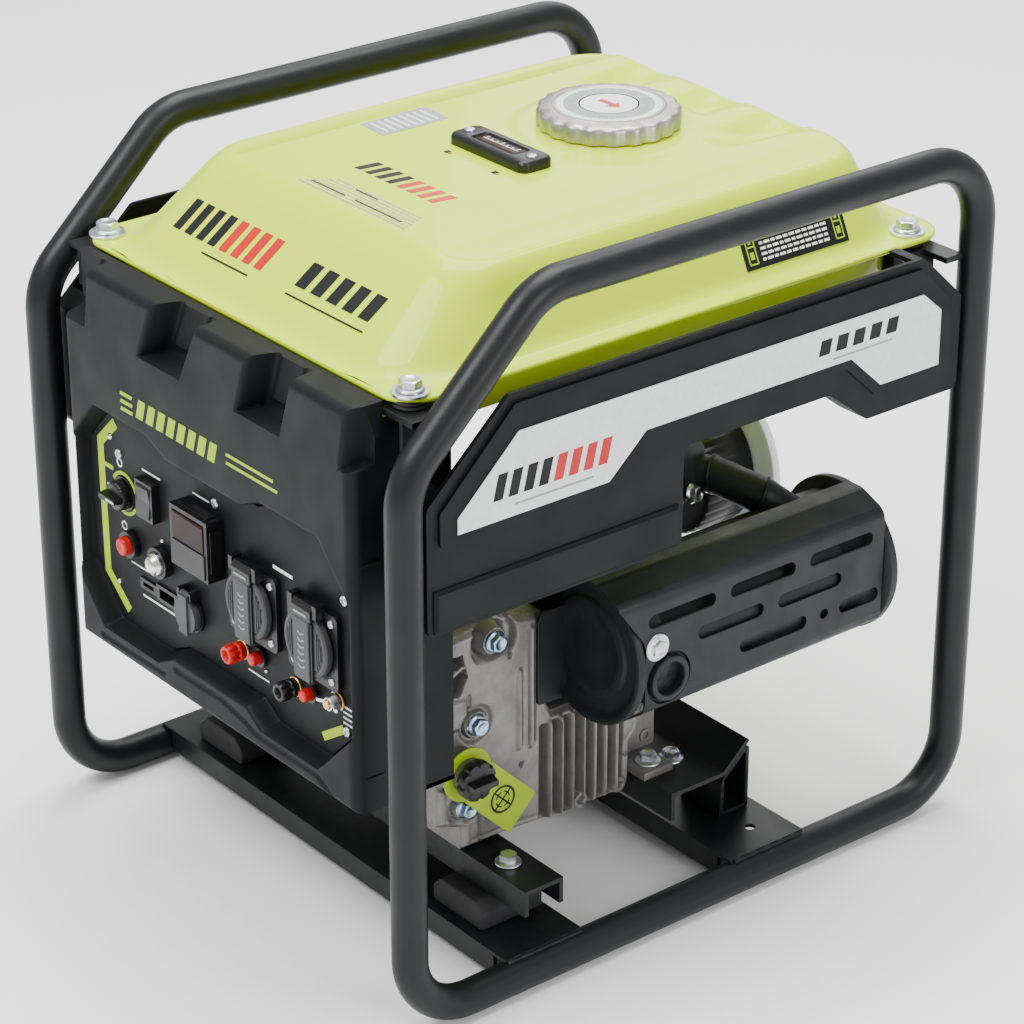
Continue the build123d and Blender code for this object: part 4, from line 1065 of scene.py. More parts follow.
# ---------------------------------------------------------------- sockets and small controls
def make_lid(name, body, piece):
    low, high = mm_box(name)
    x = (low.x + high.x) / 2
    z = 231.0
    hinge_z = z + 26.0
    bm = bmesh.new()
    rim = [(0.001, -224.5), (20.6, -224.5), (21.7, -224.9), (22.0, -226.0), (21.6, -228.6), (20.4, -229.6)]
    rim += [(18.6, -229.8), (18.0, -229.3), (17.4, -229.3), (16.8, -229.8), (0.001, -230.0)]
    add_lathe(bm, "y", rim, x, z, steps=96)
    for k in range(-3, 4):
        for side in (-1, 1):
            offset = side * (11.6 + 1.9 * (k + 3) / 2)
            reach = sqrt(max(0.0, 17.0**2 - offset**2))
            if k % 2 or reach < 3:
                continue
            rib = [(-230.6, z - reach), (-229.6, z - reach - 0.6)]
            rib += [(-229.6, z + reach + 0.6), (-230.6, z + reach)]
            add_prism(bm, "x", rib, x + offset - 0.5, x + offset + 0.5)
    finish_mesh(piece + "_disc", bm, "grey_plastic", body=body, sharp=35, bevel=0.00025, cad=name)
    bm = bmesh.new()
    strap = [(-230.0, z - 24.0), (-232.3, z - 22.5), (-232.4, z + 17), (-231.2, z + 20)]
    strap += [(-228, z + 20), (-228, z - 24.0)]
    add_prism(bm, "x", rounded(strap, [0.5, 1.2, 1.2, 1.0, 0, 0], 4), x - 7.6, x + 7.6)
    finish_mesh(piece + "_strap", bm, "grey_plastic", body=body, sharp=30, bevel=0.0005)
    bm = bmesh.new()
    for offset in (-8.7, 8.7):
        add_box(bm, (x + offset - 0.9, x + offset + 0.9), (-231.4, -229.4), (z - 21.5, z + 17.0))
    knuckle = [(-231.9, z + 17.5), (-232.2, z + 25), (-230.0, hinge_z + 2.9), (-227.0, hinge_z + 2.9)]
    knuckle += [(-225.2, hinge_z + 0.8), (-225.4, z + 18.2)]
    add_prism(bm, "x", rounded(knuckle, 1.0, 4), x - 9.5, x + 9.5)
    finish_mesh(piece + "_hinge_block", bm, "gloss_black", body=body, sharp=30, bevel=0.0005)
    bm = bmesh.new()
    for k in range(6):
        level = z + 9 - 4.4 * k
        add_band(bm, [(x - 3.2, level), (x, level - 1.6), (x + 3.2, level)], 0.9, -232.35, 0.12)
    add_box(bm, (x - 6.4, x + 6.4), (-232.55, -232.0), (z + 20.8, z + 22.0))
    finish_mesh(piece + "_marks", bm, "grey_ink", body=body, sharp=30)


def make_selector():
    x, z = -108.0, 249.0
    bm = bmesh.new()
    skirt = [(0.001, -221.6), (9.6, -221.6), (10.0, -222.1), (9.8, -226.6), (9.0, -227.8)]
    skirt += [(7.8, -228.2), (0.001, -228.3)]

    def knurl(angle, radius, t):
        return -0.35 * (0.5 + 0.5 * cos(24 * angle)) if radius > 8.5 else 0

    add_lathe(bm, "y", skirt, x, z, steps=120, ripple=knurl)
    bar = rounded([(x - 9.4, z - 2.7), (x + 9.4, z - 2.2), (x + 9.4, z + 2.2), (x - 9.4, z + 2.7)], 1.6, 5)
    slim = rounded([(x - 8.8, z - 1.9), (x + 8.8, z - 1.5), (x + 8.8, z + 1.5), (x - 8.8, z + 1.9)], 1.3, 5)
    levels = ((bar, -228.0), (bar, -229.0), (slim, -233.6), (slim, -234.0))
    loops = [[place("y", a, b, t) for a, b in shape] for shape, t in levels]
    add_loops(bm, loops, **CAPPED)
    finish_mesh("selector_knob_grip", bm, "gloss_black", body="selector", sharp=40, cad="selector_knob")
    bm = bmesh.new()
    add_box(bm, (x - 0.6, x + 8.6), (-234.15, -233.9), (z - 0.55, z + 0.55))
    finish_mesh("selector_mark", bm, "white_ink", body="selector", sharp=30)


def make_post_caps():
    profile = [(3.1, -222.5), (5.6, -222.5), (6.0, -223.0), (6.2, -226.0), (5.7, -226.6), (5.7, -227.2)]
    profile += [(6.2, -227.8), (6.2, -232.6), (5.4, -233.8), (3.6, -234.1), (3.2, -233.4), (2.6, -231.6)]
    profile.append((0.001, -231.2))

    def grips(angle, radius, t):
        return -0.8 * max(0.0, cos(8 * angle)) ** 0.7 if radius > 5.5 and t < -227 else 0.0

    for node, body, name, material, (x, z) in (
        ("post_knob_red", "post_red", "red_post_cap", "red_plastic", (20.0, 192.0)),
        ("post_knob_black", "post_black", "black_post_cap", "gloss_black", (75.0, 190.0)),
    ):
        bm = bmesh.new()
        add_lathe(bm, "y", profile, x, z, steps=128, ripple=grips)
        finish_mesh(name, bm, material, body=body, sharp=40, cad=node)


def make_buttons():
    bm = bmesh.new()
    dome = [(7.6, -214.5), (7.7, -226.0), (7.5, -227.6), (6.8, -228.6), (6.2, -229.0), (6.0, -229.8)]
    dome += [(5.2, -231.0), (3.8, -231.9), (2.0, -232.4), (0.001, -232.6)]
    add_lathe(bm, "y", dome, -66.0, 218.0, steps=64)
    finish_mesh("reset_button_dome", bm, "silver_button", body="reset", sharp=45, cad="reset_button")
    bm = bmesh.new()
    press = [(5.9, -214.5), (6.0, -228.4), (5.6, -229.4), (4.6, -229.9), (3.0, -229.6), (0.001, -229.2)]
    add_lathe(bm, "y", press, -101.0, 217.0, steps=64)
    finish_mesh("stop_button_cap", bm, "red_plastic", body="stop", sharp=45, cad="stop_button")


def make_wing_nut():
    x, z = 118.0, 199.0
    bm = bmesh.new()
    hub = [(3.1, -222.5), (5.2, -222.5), (5.5, -223.2), (4.6, -227.6), (4.2, -228.5), (3.1, -228.5)]
    add_lathe(bm, "y", hub + hub[:1], x, z, steps=48)
    for side in (-1, 1):
        wing = [(3.4, 223.6), (6.4, 225.4), (9.6, 225.8), (10.8, 227.4)]
        wing += [(10.6, 229.4), (9.0, 230.0), (6.6, 229.2), (3.4, 226.6)]
        outline = rounded([(x + side * a, -b) for a, b in wing], 1.2, 4)
        add_prism(bm, "z", outline, z - 1.15, z + 1.15)
    finish_mesh("wing_nut", bm, "zinc", body="ground", sharp=40, bevel=0.0004, cad="ground_nut")


def make_breaker_trim():
    x, z = -17.0, 253.5
    bm = bmesh.new()
    lower = [(x - 17.5, z - 15.5), (x - 13, z - 19), (x + 17.5, z - 19)]
    lower += [(x + 17.5, z - 2.2), (x - 17.5, z - 2.2)]
    add_prism(bm, "y", rounded(lower, 1.2, 4), -233.9, -232.6)
    finish_mesh("breaker_front_plate", bm, "gloss_black", sharp=30, bevel=0.0004)
    bm = bmesh.new()
    add_box(bm, (x - 16.2, x + 16.2), (PLATE_FACE - 9.6, PLATE_FACE - 3), (z + 20.0, z + 21.2))
    for side in (-1, 1):
        add_box(bm, (x + side * 20.4 - 0.5, x + side * 20.4 + 0.5), (-231, -222), (z - 14, z + 14))
    finish_mesh("breaker_ribs", bm, "gloss_black", sharp=30, bevel=0.0003)


def make_screws():
    bm = bmesh.new()
    for x, z in ((-112, 275), (-5, 281), (126, 181), (126, 268)):
        add_screw(bm, (x, PLATE_FACE, z), (0, -1, 0), 3.4, 1.8)
    for cx in (36.5, 98.0):
        for dx in (-19, 19):
            for dz in (-19, 19):
                add_screw(bm, (cx + dx, -224.0, 231 + dz), (0, -1, 0), 2.6, 1.2)
    finish_mesh("control_screws", bm, "zinc", sharp=35, cad="panel_screws")


# ---------------------------------------------------------------- labels on the covers and the tank
def slanted(a, low, high, width, lean=0.0):
    """Printed bar between two levels, from its lower left corner."""
    return [(a, low), (a + width, low), (a + width + lean, high), (a + lean, high)]


def make_cover_labels():
    face, film = 196.0, 0.12
    for side, name in ((1, "right"), (-1, "left")):
        lo, hi = sorted((side * face, side * (face + film)))
        dark, red, grey = bmesh.new(), bmesh.new(), bmesh.new()
        for k in range(8):
            add_prism(dark if k < 4 else red, "x", slanted(-166 + 11 * k, 341, 357, 7, 4), lo, hi)
        for k in range(5):
            add_prism(dark, "x", slanted(84 + 14 * k, 362, 372, 9, 2), lo, hi)
        add_prism(grey, "x", slanted(-150, 334.6, 336, 58), lo, hi)
        add_prism(grey, "x", slanted(96, 357, 358.2, 50), lo, hi)
        finish_mesh("cover_marks_dark_" + name, dark, "black_ink", sharp=30)
        finish_mesh("cover_marks_red_" + name, red, "red_plastic", sharp=30)
        finish_mesh("cover_marks_grey_" + name, grey, "grey_ink", sharp=30)


def wall_point(y, z, out):
    """Point on or just above the tank's sloping right wall."""
    share = (z - TANK_FLANGE - 0.2) / (TANK_RISE - 0.2)
    return Vector((157 - 26 * share + out * 0.9, y, z + out * 0.44)) * MM


def wall_patch(bm, y0, y1, z0, z1, out=0.68):
    corners = [(y0, z0), (y1, z0), (y1, z1), (y0, z1)]
    loops = [[wall_point(y, z, level) for y, z in corners] for level in (0.0, out)]
    add_loops(bm, loops, **CAPPED)


def make_side_label():
    bm = bmesh.new()
    wall_patch(bm, 63, 147, 409, 434, 0.55)
    finish_mesh("tank_side_label", bm, "black_ink", sharp=30)
    bm = bmesh.new()
    for y in (66, 137):
        for edge in (y, y + 6.4):
            wall_patch(bm, edge, edge + 0.8, 411.5, 432.0)
        for z in (411.5, 421.0, 431.2):
            wall_patch(bm, y, y + 7.0, z, z + 0.8)
        wall_patch(bm, y + 2.0, y + 5.0, 414.5, 418.5)
        wall_patch(bm, y + 2.6, y + 4.4, 423.0, 429.5)
    for k in range(5):
        wall_patch(bm, 84 + 7.5 * k, 89.5 + 7.5 * k, 431.0, 432.6)
    finish_mesh("tank_side_label_lines", bm, "lime_ink", sharp=30)
    bm = bmesh.new()
    for row in range(6):
        y, step = 77.0, 0
        base = 412.4 + 3.0 * row
        while y < 132:
            length = 2.4 + 2.2 * abs(sin(row * 2.1 + step * 1.7))
            wall_patch(bm, y, min(134.0, y + length), base, base + 1.5)
            y += length + 1.3
            step += 1
    finish_mesh("tank_side_label_dashes", bm, "white_ink", sharp=30)


def top_patch(bm, corners, out=0.25, across=1, along=1):
    """Thin print on the pressed top, following its shape, from four corners."""
    p = [Vector(c) for c in corners]
    for i in range(across):
        for j in range(along):
            cell = []
            for u, v in ((i, j), (i + 1, j), (i + 1, j + 1), (i, j + 1)):
                s, t = u / across, v / along
                cell.append((p[0] * (1 - s) + p[1] * s) * (1 - t) + (p[3] * (1 - s) + p[2] * s) * t)
            loops = []
            for level in (-0.2, out):
                loops.append([Vector((q.x, q.y, tank_crown(q.x, q.y) + level)) * MM for q in cell])
            add_loops(bm, loops, **CAPPED)


def slope_patch(bm, corners, out=0.3):
    """Thin print on the sloping front wall, from (x, share of the height) corners."""
    loops = []
    for level in (-0.1, out):
        y, z = -200 - 0.65 * level, TANK_FLANGE + 0.76 * level
        loops.append([Vector((x, y + 62 * t, z + TANK_RISE * t)) * MM for x, t in corners])
    add_loops(bm, loops, **CAPPED)


def make_tank_plate():
    bm = bmesh.new()
    top_patch(bm, [(-99, -38), (-72, -40), (-73, 12), (-100, 14)], across=4, along=8)
    for row in range(6):
        x, step = -42 + 3.0 * row, 0
        while x < 64 - 2.0 * row:
            length = 2.2 + 2.0 * abs(sin(row * 1.3 + step * 2.3))
            y = -127 + 3.6 * row
            top_patch(bm, slanted(x, y, y + 1.5, length), 0.12)
            x += length + 1.2
            step += 1
    finish_mesh("tank_plate", bm, "grey_ink", sharp=30)
    bm = bmesh.new()
    for k in range(8):
        low = -33 + 5.6 * k
        top_patch(bm, [(-96, low), (-76, low - 1), (-76, low + 0.6), (-96, low + 1.6)], 0.38, across=3)
    finish_mesh("tank_plate_lines", bm, "white_ink", sharp=30)


def make_tank_marks():
    dark, red = bmesh.new(), bmesh.new()
    for k in range(8):
        bm = dark if k < 4 else red
        slope_patch(bm, slanted(-102 + 12.2 * k, 0.34, 0.62, 7.4, 2.4))
        top_patch(bm, slanted(-38 + 10.4 * k, -88.0, -71.0, 6.0, 2.2), 0.12, along=3)
    for k in range(5):
        slope_patch(dark, slanted(24 + 15.5 * k, 0.36, 0.58, 10.0, 2.2))
    slope_patch(dark, slanted(22, 0.27, 0.285, 76))
    slope_patch(dark, slanted(-64, 0.255, 0.27, 48))
    for x, y, width in ((-36, -121.5, 34), (8, -121.5, 46), (-6, -110.6, 22)):
        top_patch(dark, slanted(x, y, y + 1.3, width), 0.16, across=3)
    for x in (-26, 21):
        top_patch(dark, slanted(x, -29, -24.5, 4), 0.14)
        top_patch(dark, slanted(x + 5, -29, -26, 1.2), 0.14)
    finish_mesh("tank_marks_dark", dark, "black_ink", sharp=30)
    finish_mesh("tank_marks_red", red, "red_plastic", sharp=30)


# ---------------------------------------------------------------- relief castings
def add_relief(bm, outline, height, back, step):
    """Casting face on a fine (y, z) grid, trimmed to an outline, its border carried back along X."""
    low = [min(p[i] for p in outline) - step for i in (0, 1)]
    high = [max(p[i] for p in outline) + step for i in (0, 1)]
    us, vs = (np.arange(low[i], high[i] + step, step) for i in (0, 1))
    u, v = np.meshgrid(us, vs)
    d = outline_distance(outline, u, v)
    du = (outline_distance(outline, u + 0.05, v) - outline_distance(outline, u - 0.05, v)) / 0.1
    dv = (outline_distance(outline, u, v + 0.05) - outline_distance(outline, u, v - 0.05)) / 0.1
    near = np.abs(d) < 0.62 * step
    u = np.where(near, u - d * du, u)
    v = np.where(near, v - d * dv, v)
    d = np.where(near, 0.0, d)
    x = height(u, v, d)
    verts = {}

    def vert(j, i):
        if (j, i) not in verts:
            verts[j, i] = bm.verts.new(Vector((x[j, i], u[j, i], v[j, i])) * MM)
        return verts[j, i]

    for j in range(u.shape[0] - 1):
        for i in range(u.shape[1] - 1):
            if min(d[j, i], d[j, i + 1], d[j + 1, i], d[j + 1, i + 1]) > -1e-6:
                bm.faces.new((vert(j, i), vert(j, i + 1), vert(j + 1, i + 1), vert(j + 1, i)))
    border = [e for e in bm.edges if len(e.link_faces) == 1]
    grown = bmesh.ops.extrude_edge_only(bm, edges=border)["geom"]
    for item in grown:
        if isinstance(item, bmesh.types.BMVert):
            item.co.x = back * MM


def bump_at(u, v, a, b, radius, edge=1.2):
    """1 on a round boss or hole, 0 outside it, with a soft edge."""
    return eased((radius - np.hypot(u - a, v - b)) / edge + 0.5)


COVER_OUTLINE = [(-150, 85), (-131, 78), (-131, 62), (-100.5, 62), (-66, 60), (-44, 57), (-30, 58.5)]
COVER_OUTLINE += [(-12, 57), (2, 58.5), (5, 66), (5, 92), (12, 100), (12, 120), (4, 136), (-60, 136)]
COVER_OUTLINE += [(-66, 150), (-66, 207), (-100, 215), (-142, 212), (-150, 200)]
COVER_FACE = 122.0
OIL_FILLER = (-137.0, 125.0)
COVER_BOLTS = [(-121, 149), (-106.5, 202), (-130, 94)]


def cover_height(u, v, d):
    x = COVER_FACE - 4.5 * (1 - eased(d / 4.0)) - 0.6 * np.exp(-((d - 6.0) ** 2) / 2.0)
    ribbed = eased((v - 61) / 3.0) * eased((131 - v) / 3.0)
    for k in range(8):
        centre = -68.0 + 9.0 * k
        groove = eased(1.35 - np.abs(u - centre) / 2.6)
        x = x - 8.5 * groove * ribbed * eased((d + 0.2) / 2.0)
    for k in range(7):
        centre = -63.4 + 9.0 * k
        rib = eased(1.3 - np.abs(u - centre) / 1.5) * eased((v - 60) / 3.0) * eased((133 - v) / 2.5)
        x = x + 3.0 * rib
    for centre, low, high in ((-87.9, 119, 177), (-78.3, 117, 204)):
        ends = eased((v - low) / 2.5) * eased((high - v) / 2.5)
        x = x + 2.6 * eased(1.4 - np.abs(u - centre) / 1.5) * ends
        x = x - 2.4 * eased(1.2 - np.abs(u - centre - 3.2) / 1.3) * ends
    for a, b in ((-38, 65), (-6, 64.6)):
        x = np.maximum(x, (COVER_FACE + 1.0) * bump_at(u, v, a, b, 6.2))
        x = x - 5.0 * bump_at(u, v, a, b, 2.3, 0.8)
    for a, b in ((-94.3, 187.9), (-85.6, 108.1), (0.5, 84.5), (4.5, 112)):
        x = x - 3.5 * bump_at(u, v, a, b, 1.9, 0.8)
    for a, b in COVER_BOLTS:
        seat = bump_at(u, v, a, b, 9.0, 1.0)
        ring = bump_at(u, v, a, b, 12.5, 3.0)
        x = x - 3.0 * ring
        x = np.where(seat > 0.5, COVER_FACE, x)
    upper = bump_at(u, v, -106.5, 202, 17.0, 3.0) - bump_at(u, v, -106.5, 202, 10.5, 1.5)
    x = x - 7.0 * np.clip(upper, 0, 1) * eased((v - 188) / 8)
    window = [(-149, 176), (-133, 172), (-127, 184), (-131, 200), (-149, 202)]
    x = x - 16.0 * drafted(window, [1.6] * len(window), u, v)
    strut = line_distance([(-150, 178), (-139, 186), (-129, 191)], u, v)
    x = np.maximum(x, (COVER_FACE - 1.5) * eased(1.5 - strut / 2.4))
    strut = line_distance([(-138, 202), (-136, 190)], u, v)
    x = np.maximum(x, (COVER_FACE - 4.0) * eased(1.5 - strut / 1.8))
    step = drafted([(-150, 150), (-128, 150), (-128, 170), (-150, 174)], (2.0, 2.0, 2.0, 2.0), u, v)
    x = x + 1.8 * step
    cut = line_distance([(-150, 150), (-131, 150), (-126, 158), (-126, 170)], u, v)
    x = x - 2.6 * eased(1.3 - cut / 1.6)
    lower = line_distance([(-147, 112), (-128, 108), (-118, 92), (-118, 66)], u, v)
    x = x - 2.2 * eased(1.3 - lower / 1.8)
    return np.maximum(x, 100.0)


def make_crankcase_cover():
    bm = bmesh.new()
    add_relief(bm, COVER_OUTLINE, cover_height, 84.0, 0.85)
    finish_mesh("cover_casting", bm, "cast_alloy", sharp=62, cad="crankcase_cover")
    bm = bmesh.new()
    inner = [(-150, 85), (-131, 78), (-96, 73), (0, 73), (0, 210), (-20, 215), (-142, 212), (-150, 200)]
    add_prism(bm, "x", rounded(inner, 4), 84, 97)
    tail = [(0, 75.5), (34, 75.5), (34, 106), (22, 118), (0, 126)]
    add_prism(bm, "x", rounded(tail, 3), 84, 110)
    add_box(bm, (84, 137), (3, 27), (70, 75.2))
    boss = [(4.6, 100), (4.6, 111), (4.0, 111.6), (2.2, 111.6), (2.2, 107), (0.001, 107)]
    for z in (84, 104):
        add_lathe(bm, "x", boss, 26, z, steps=32)
    finish_mesh("cover_casting_rear", bm, "cast_alloy", sharp=35, bevel=0.001)
    bm = bmesh.new()
    neck = [(14.2, 100), (14.2, 126.4), (13.6, 127.8), (11.4, 128.6), (11.0, 129.4), (11.0, 137.6)]
    neck += [(10.6, 138), (8.7, 138), (8.7, 126)]
    add_lathe(bm, "x", neck, *OIL_FILLER, steps=64)
    finish_mesh("oil_filler_boss", bm, "cast_alloy", sharp=40)
    bm = bmesh.new()
    for y, z in COVER_BOLTS:
        add_bolt(bm, (COVER_FACE, y, z), (1, 0, 0), flats=10, head=4.6, flange_r=7.5, turn=y)
    finish_mesh("cover_bolts", bm, "blue_zinc", sharp=40, cad="engine_bolts")
    bm = bmesh.new()
    add_bolt(bm, (194.0, -39, 205), (1, 0, 0), flats=10, head=3.3, flange_r=9, flange_t=1.3, turn=0.3)
    finish_mesh("guard_bolt", bm, "zinc", sharp=40)


def make_oil_cap():
    y, z = OIL_FILLER
    bm = bmesh.new()
    skirt = [(8.1, 116), (8.1, 138.5), (12.4, 138.5), (13.1, 139.3), (13.3, 144.0), (12.6, 145.8)]
    skirt += [(10.6, 146.5), (0.001, 146.8)]

    def notch(angle, radius, t):
        return -1.5 * max(0.0, cos(8 * angle)) ** 2 if radius > 11.5 else 0.0

    add_lathe(bm, "x", skirt, y, z, steps=128, ripple=notch)
    bar = rounded([(y - 10, z - 3.2), (y + 10, z - 3.2), (y + 10, z + 3.2), (y - 10, z + 3.2)], 1.6, 4)
    slim = rounded([(y - 9.2, z - 2.0), (y + 9.2, z - 2.0), (y + 9.2, z + 2.0), (y - 9.2, z + 2.0)], 1.3, 4)
    levels = ((bar, 146), (bar, 148), (slim, 152.4), (slim, 153))
    loops = [[place("x", a, b, t) for a, b in shape] for shape, t in levels]
    add_loops(bm, loops, **CAPPED)
    finish_mesh("oil_cap_grip", bm, "gloss_black", body="oil_cap", sharp=40, cad="oil_filler_cap")


def make_oil_tag():
    """Sheet tag around the filler's neck, turned down towards the front."""
    y, z = OIL_FILLER
    turn = radians(-45)

    def tag_point(a, b):
        return (y + a * cos(turn) - b * sin(turn), z + a * sin(turn) + b * cos(turn))

    outline = [tag_point(a, b) for a, b in arc_points((0, 0), 18, 50, 310, 28)]
    blade = rounded([(11, -15), (60, -15), (60, 15), (11, 15)], [0, 2.5, 2.5, 0], 5)
    outline += [tag_point(a, b) for a, b in blade]
    hole = [tag_point(a, b) for a, b in arc_points((0, 0), 11.4, 0, 360, 64)]
    bm = bmesh.new()
    face, rear = 134.2, 133.0
    rim = [bm.verts.new(place("x", a, b, face)) for a, b in outline]
    ring = [bm.verts.new(place("x", a, b, face)) for a, b in hole[:-1]]
    edges = []
    for loop in (rim, ring):
        edges += [bm.edges.new((v, loop[(i + 1) % len(loop)])) for i, v in enumerate(loop)]
    bmesh.ops.triangle_fill(bm, edges=edges, use_beauty=True)
    grown = bmesh.ops.extrude_face_region(bm, geom=list(bm.faces))["geom"]
    for item in grown:
        if isinstance(item, bmesh.types.BMVert):
            item.co.x = rear * MM
    finish_mesh("oil_tag_sheet", bm, "lime_plastic", sharp=30, cad="oil_tag")
    bm = bmesh.new()
    centre = tag_point(38, 0)
    rings = [(9.6, 1.5, 0, 342), (9.6, 1.5, 342, 360)]
    rings += [(5.6, 0.9, start, start + 70) for start in (10, 100, 190, 280)]
    for radius, width, start, end in rings:
        band = arc_points(centre, radius, start, end, 24)
        band += arc_points(centre, radius - width, end, start, 24)
        add_prism(bm, "x", band, face - 0.05, face + 0.12)
    for long, wide in ((8.4, 0.6), (0.6, 8.4)):
        tips = [tag_point(38 + s * long, t * wide) for s, t in CORNERS]
        add_prism(bm, "x", tips, face - 0.05, face + 0.12)
    finish_mesh("oil_tag_print", bm, "black_ink", sharp=30)


# ---------------------------------------------------------------- exhaust
def make_muffler():
    x, z = 148.0, 191.0
    bm = bmesh.new()
    front = [(0.001, -52.4), (14, -52.6), (24, -52.4), (26, -53.8), (29, -54.2), (32, -53.8), (33.5, -52.0)]
    front += [(40, -51.6), (43, -52.6), (45, -55.0), (47, -56.0), (49, -55.7), (50, -54.4), (50, -51)]
    front += [(48.8, -50), (44.2, -49.4), (43.5, -48.4)]
    rear = [(43.5, 151), (49.8, 152.4), (51, 153.6), (51, 158.4), (50.2, 159.8), (48, 160.4), (45.4, 162.2)]
    rear += [(43, 163.6), (30, 165.2), (0.001, 165.8)]
    seams = []
    for y in (-28, 122):
        seams += [(43.5, y - 2), (44.0, y - 1), (44.0, y + 1), (43.5, y + 2)]
    add_lathe(bm, "y", front + seams + rear, x, z, steps=128)
    finish_mesh("muffler_drum", bm, "muffler_black", sharp=42, cad="muffler_shell")
    bm = bmesh.new()
    lip = [(0.001, 189.6), (11.0, 189.6), (11.0, 195.7), (11.6, 196.4), (13.2, 196.5), (14.6, 196.0)]
    lip += [(15.0, 194.8), (15.0, 186)]
    add_lathe(bm, "x", lip, -29, 181, steps=64)
    boss = [(8.0, 184), (8.0, 191.6), (7.4, 192.2), (3.4, 192.2)]
    add_lathe(bm, "x", boss, -39, 205, steps=40)
    finish_mesh("muffler_outlet", bm, "muffler_black", sharp=40)
    bm = bmesh.new()
    plate = rounded([(-75, 147), (-50, 146), (-50, 211), (-72, 211), (-75, 205)], [3, 0, 0, 3, 3], 4)
    add_prism(bm, "x", plate, 122.6, 125.0)
    add_box(bm, (97, 100), (-48, 10), (146, 232))
    add_box(bm, (99, 116), (-20, -10), (170, 212))
    finish_mesh("muffler_stay", bm, "muffler_black", sharp=30, bevel=0.0006)
    bm = bmesh.new()
    weld = []
    for k in range(72):
        a = 2 * pi * k / 72
        weld.append(place("x", -29 + 16.2 * cos(a), 181 + 16.2 * sin(a), 190.4 + 0.25 * sin(9 * a)))
    add_tube(bm, weld, 1.4, steps=8, closed=True)
    finish_mesh("outlet_weld", bm, "muffler_black", sharp=60)


# ---------------------------------------------------------------- fasteners on the frame
def make_frame_bolts():
    bm = bmesh.new()
    for side in (-1, 1):
        add_bolt(bm, (side * 148.0, -117.0, 62.0), (0, 0, 1), flats=10, head=4.6, turn=side)
        add_bolt(bm, (side * 125.0, 35.5, 70.0), (0, 0, 1), flats=10, head=4.6, turn=0.4 + side)
    for x in (125.0, -60.0):
        add_bolt(bm, (x, 16.0, 75.0), (0, 0, 1), flats=10, head=4.6, turn=x)
    finish_mesh("frame_bolt_heads", bm, "zinc", sharp=40, cad="frame_bolts")


# ---------------------------------------------------------------- air cleaner
def make_air_cleaner():
    x, z = 8.0, 203.0
    bm = bmesh.new()
    case = [(0.001, 130.2), (38, 130.2), (42.5, 131.2), (44, 133), (44, 168), (43, 170), (41, 171)]
    case.append((0.001, 171))

    def ribs(angle, radius, t):
        return -0.9 * max(0.0, cos(30 * angle)) if radius > 43.5 else 0.0

    add_lathe(bm, "y", case, x, z, steps=240, ripple=ribs)
    finish_mesh("air_cleaner_case", bm, "gloss_black", sharp=40, cad="air_cleaner")
    bm = bmesh.new()
    lid = [(0.001, 171.2), (59, 171.2), (60.6, 172.0), (61, 173.4), (61, 176.6), (60.2, 178.2)]
    lid += [(57.5, 179.6), (54, 180.6), (50, 180.8), (48.6, 180.2), (47, 180.2), (45.6, 181.2)]
    lid += [(24, 182.0), (22.6, 181.2), (20, 181.2), (18.6, 182.2), (0.001, 182.4)]
    add_lathe(bm, "y", lid, x, z, steps=128)
    finish_mesh("air_cleaner_lid", bm, "pale_plastic", sharp=40)


# ---------------------------------------------------------------- exhaust pipe and rubber mounts
def bent_line(corners, radius, steps=10):
    """Open path in millimetres with a round bend at every inner corner."""
    points = [Vector(corners[0])]
    for before, here, after in zip(corners, corners[1:], corners[2:]):
        p = Vector(here)
        u, v = (Vector(before) - p).normalized(), (Vector(after) - p).normalized()
        half = u.angle(v) / 2
        middle = p + (u + v).normalized() * radius / sin(half)
        first, last = p + u * radius / tan(half) - middle, p + v * radius / tan(half) - middle
        points += [middle + first.slerp(last, k / steps) for k in range(steps + 1)]
    return points + [Vector(corners[-1])]


def add_plate_at(bm, centre, direction, up, outline, thickness):
    """Flat plate in millimetres, drawn in its own (across, up) plane at a point and facing a direction."""
    d = Vector(direction).normalized()
    across = Vector(up).cross(d).normalized()
    rise = d.cross(across)
    loops = []
    for level in (0.0, thickness):
        loops.append([(Vector(centre) + across * a + rise * b + d * level) * MM for a, b in outline])
    add_loops(bm, loops, **CAPPED)
    return across, rise


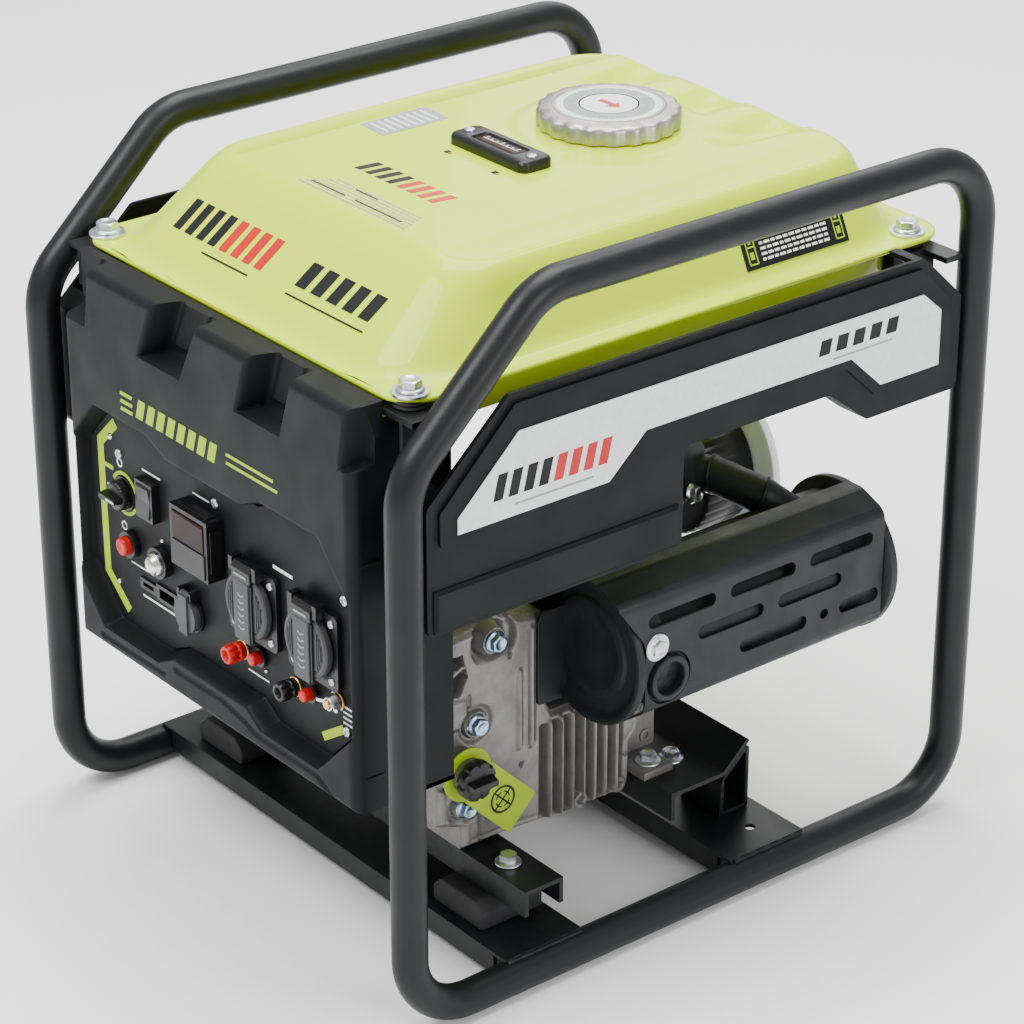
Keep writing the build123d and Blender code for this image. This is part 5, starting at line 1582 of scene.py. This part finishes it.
def make_exhaust():
    path = bent_line([(60, 72, 244), (98, 84, 253), (134, 112, 250), (150, 132, 214)], 16)
    bm = bmesh.new()
    add_tube(bm, [p * MM for p in path], 12.0, steps=40)
    seat = Vector((62, 72.6, 244.5))
    facing = Vector((38, 12, 9)).normalized()
    oval = rounded([(-15, -21), (15, -21), (15, 21), (-15, 21)], 9, 6)
    add_plate_at(bm, seat, facing, (0, 0, 1), oval, 6.5)
    collar = Vector((86, 80.2, 250.2))
    plate = rounded([(-14, -20), (14, -20), (14, 15), (-14, 15)], 8, 6)
    across, rise = add_plate_at(bm, collar, facing, (0, 0, 1), plate, 5.0)
    finish_mesh("exhaust_bend", bm, "muffler_black", sharp=40, cad="exhaust_pipe", bevel=0.0008)
    bm = bmesh.new()
    for along, height in ((-9.5, -14.5), (9.5, -14.5)):
        at = collar + across * along + rise * height + facing * 5.0
        add_bolt(bm, tuple(at), tuple(facing), flats=9, head=5.0, flange_r=6.6, flange_t=1.2, turn=along)
    finish_mesh("exhaust_nuts", bm, "zinc", sharp=40)
    bm = bmesh.new()
    for station in (0.30, 0.62):
        index = int(station * (len(path) - 1))
        p = path[index]
        axis = (path[index + 1] - p).normalized()
        side = axis.cross(Vector((0, 0, 1))).normalized()
        other = axis.cross(side)
        turns = [2 * pi * k / 48 for k in range(48)]
        ring = [(p + (side * cos(a) + other * sin(a)) * 12.2) * MM for a in turns]
        add_tube(bm, ring, 1.1, steps=8, closed=True)
    finish_mesh("exhaust_welds", bm, "muffler_black", sharp=60)


def make_mounts():
    bm = bmesh.new()
    for side in (-1, 1):
        shape = rounded([(105, 24.6), (155, 24.6), (155, 36), (147, 43), (113, 43), (105, 36)], 3, 4)
        if side < 0:
            shape = [(-a, b) for a, b in shape]
        add_prism(bm, "y", shape, -142.6, -95.4)
        x0, x1 = (115.5, 157.5) if side > 0 else (-157.5, -115.5)
        add_box(bm, (x0, x1), (-125.5, -106.5), (42, 58.8))
    finish_mesh("front_mount_blocks", bm, "rubber", sharp=30, bevel=0.0012, cad="rubber_mounts")
    along = Vector((0, 20.8, 18.8)).normalized()
    down = Vector((0, along.z, -along.y))
    barrel = ((0.2, 12.5), (0.8, 13.4), (4.0, 13.6), (8.0, 11.8), (12.0, 13.4), (15.4, 13.6), (16.0, 12.8))
    bm = bmesh.new()
    for side in (-1, 1):
        centre = Vector((side * 125.0, 61.6, 76.2))
        rings = []
        for reach, radius in barrel:
            ring = []
            for k in range(48):
                a = 2 * pi * k / 48
                out = (Vector((1, 0, 0)) * cos(a) + along * sin(a)) * radius
                ring.append((centre + down * reach + out) * MM)
            rings.append(ring)
        add_loops(bm, rings, **CAPPED)
    finish_mesh("rear_mount_barrels", bm, "rubber", sharp=40)
    bm = bmesh.new()
    for side in (-1, 1):
        x0, x1 = (106, 144) if side > 0 else (-144, -106)
        face = [(84.6, 70.6), (63.0, 51.2), (64.6, 49.3), (84.0, 66.8)]
        face += [(84.0, 24.7), (87.0, 24.7), (87.0, 68.6)]
        add_prism(bm, "x", rounded(face, [1, 1, 1, 1, 0, 0, 1.5], 3), x0, x1)
        foot = [(62.0, 24.7), (86.0, 24.7), (86.0, 27.2), (66.0, 27.2), (66.0, 49.8), (63.4, 49.8)]
        add_prism(bm, "x", rounded(foot, [0, 0, 1, 1, 1, 1], 3), x0, x1)
    finish_mesh("rear_mount_brackets", bm, "frame_paint", sharp=30, bevel=0.0006)


make_hoop("right", "right_hoop")
make_hoop("left", "left_hoop")
make_tank()
make_tank_pan()
make_tank_bolts()
make_cap()
make_gauge()
make_panel()
make_panel_prints()
make_lid("ac_cover_inner", "ac_lid_inner", "inner_lid")
make_lid("ac_cover_outer", "ac_lid_outer", "outer_lid")
make_selector()
make_post_caps()
make_buttons()
make_wing_nut()
make_breaker_trim()
make_screws()
make_cover_labels()
make_side_label()
make_tank_plate()
make_tank_marks()
make_crankcase_cover()
make_oil_cap()
make_oil_tag()
make_muffler()
make_frame_bolts()
make_air_cleaner()
make_exhaust()
make_mounts()
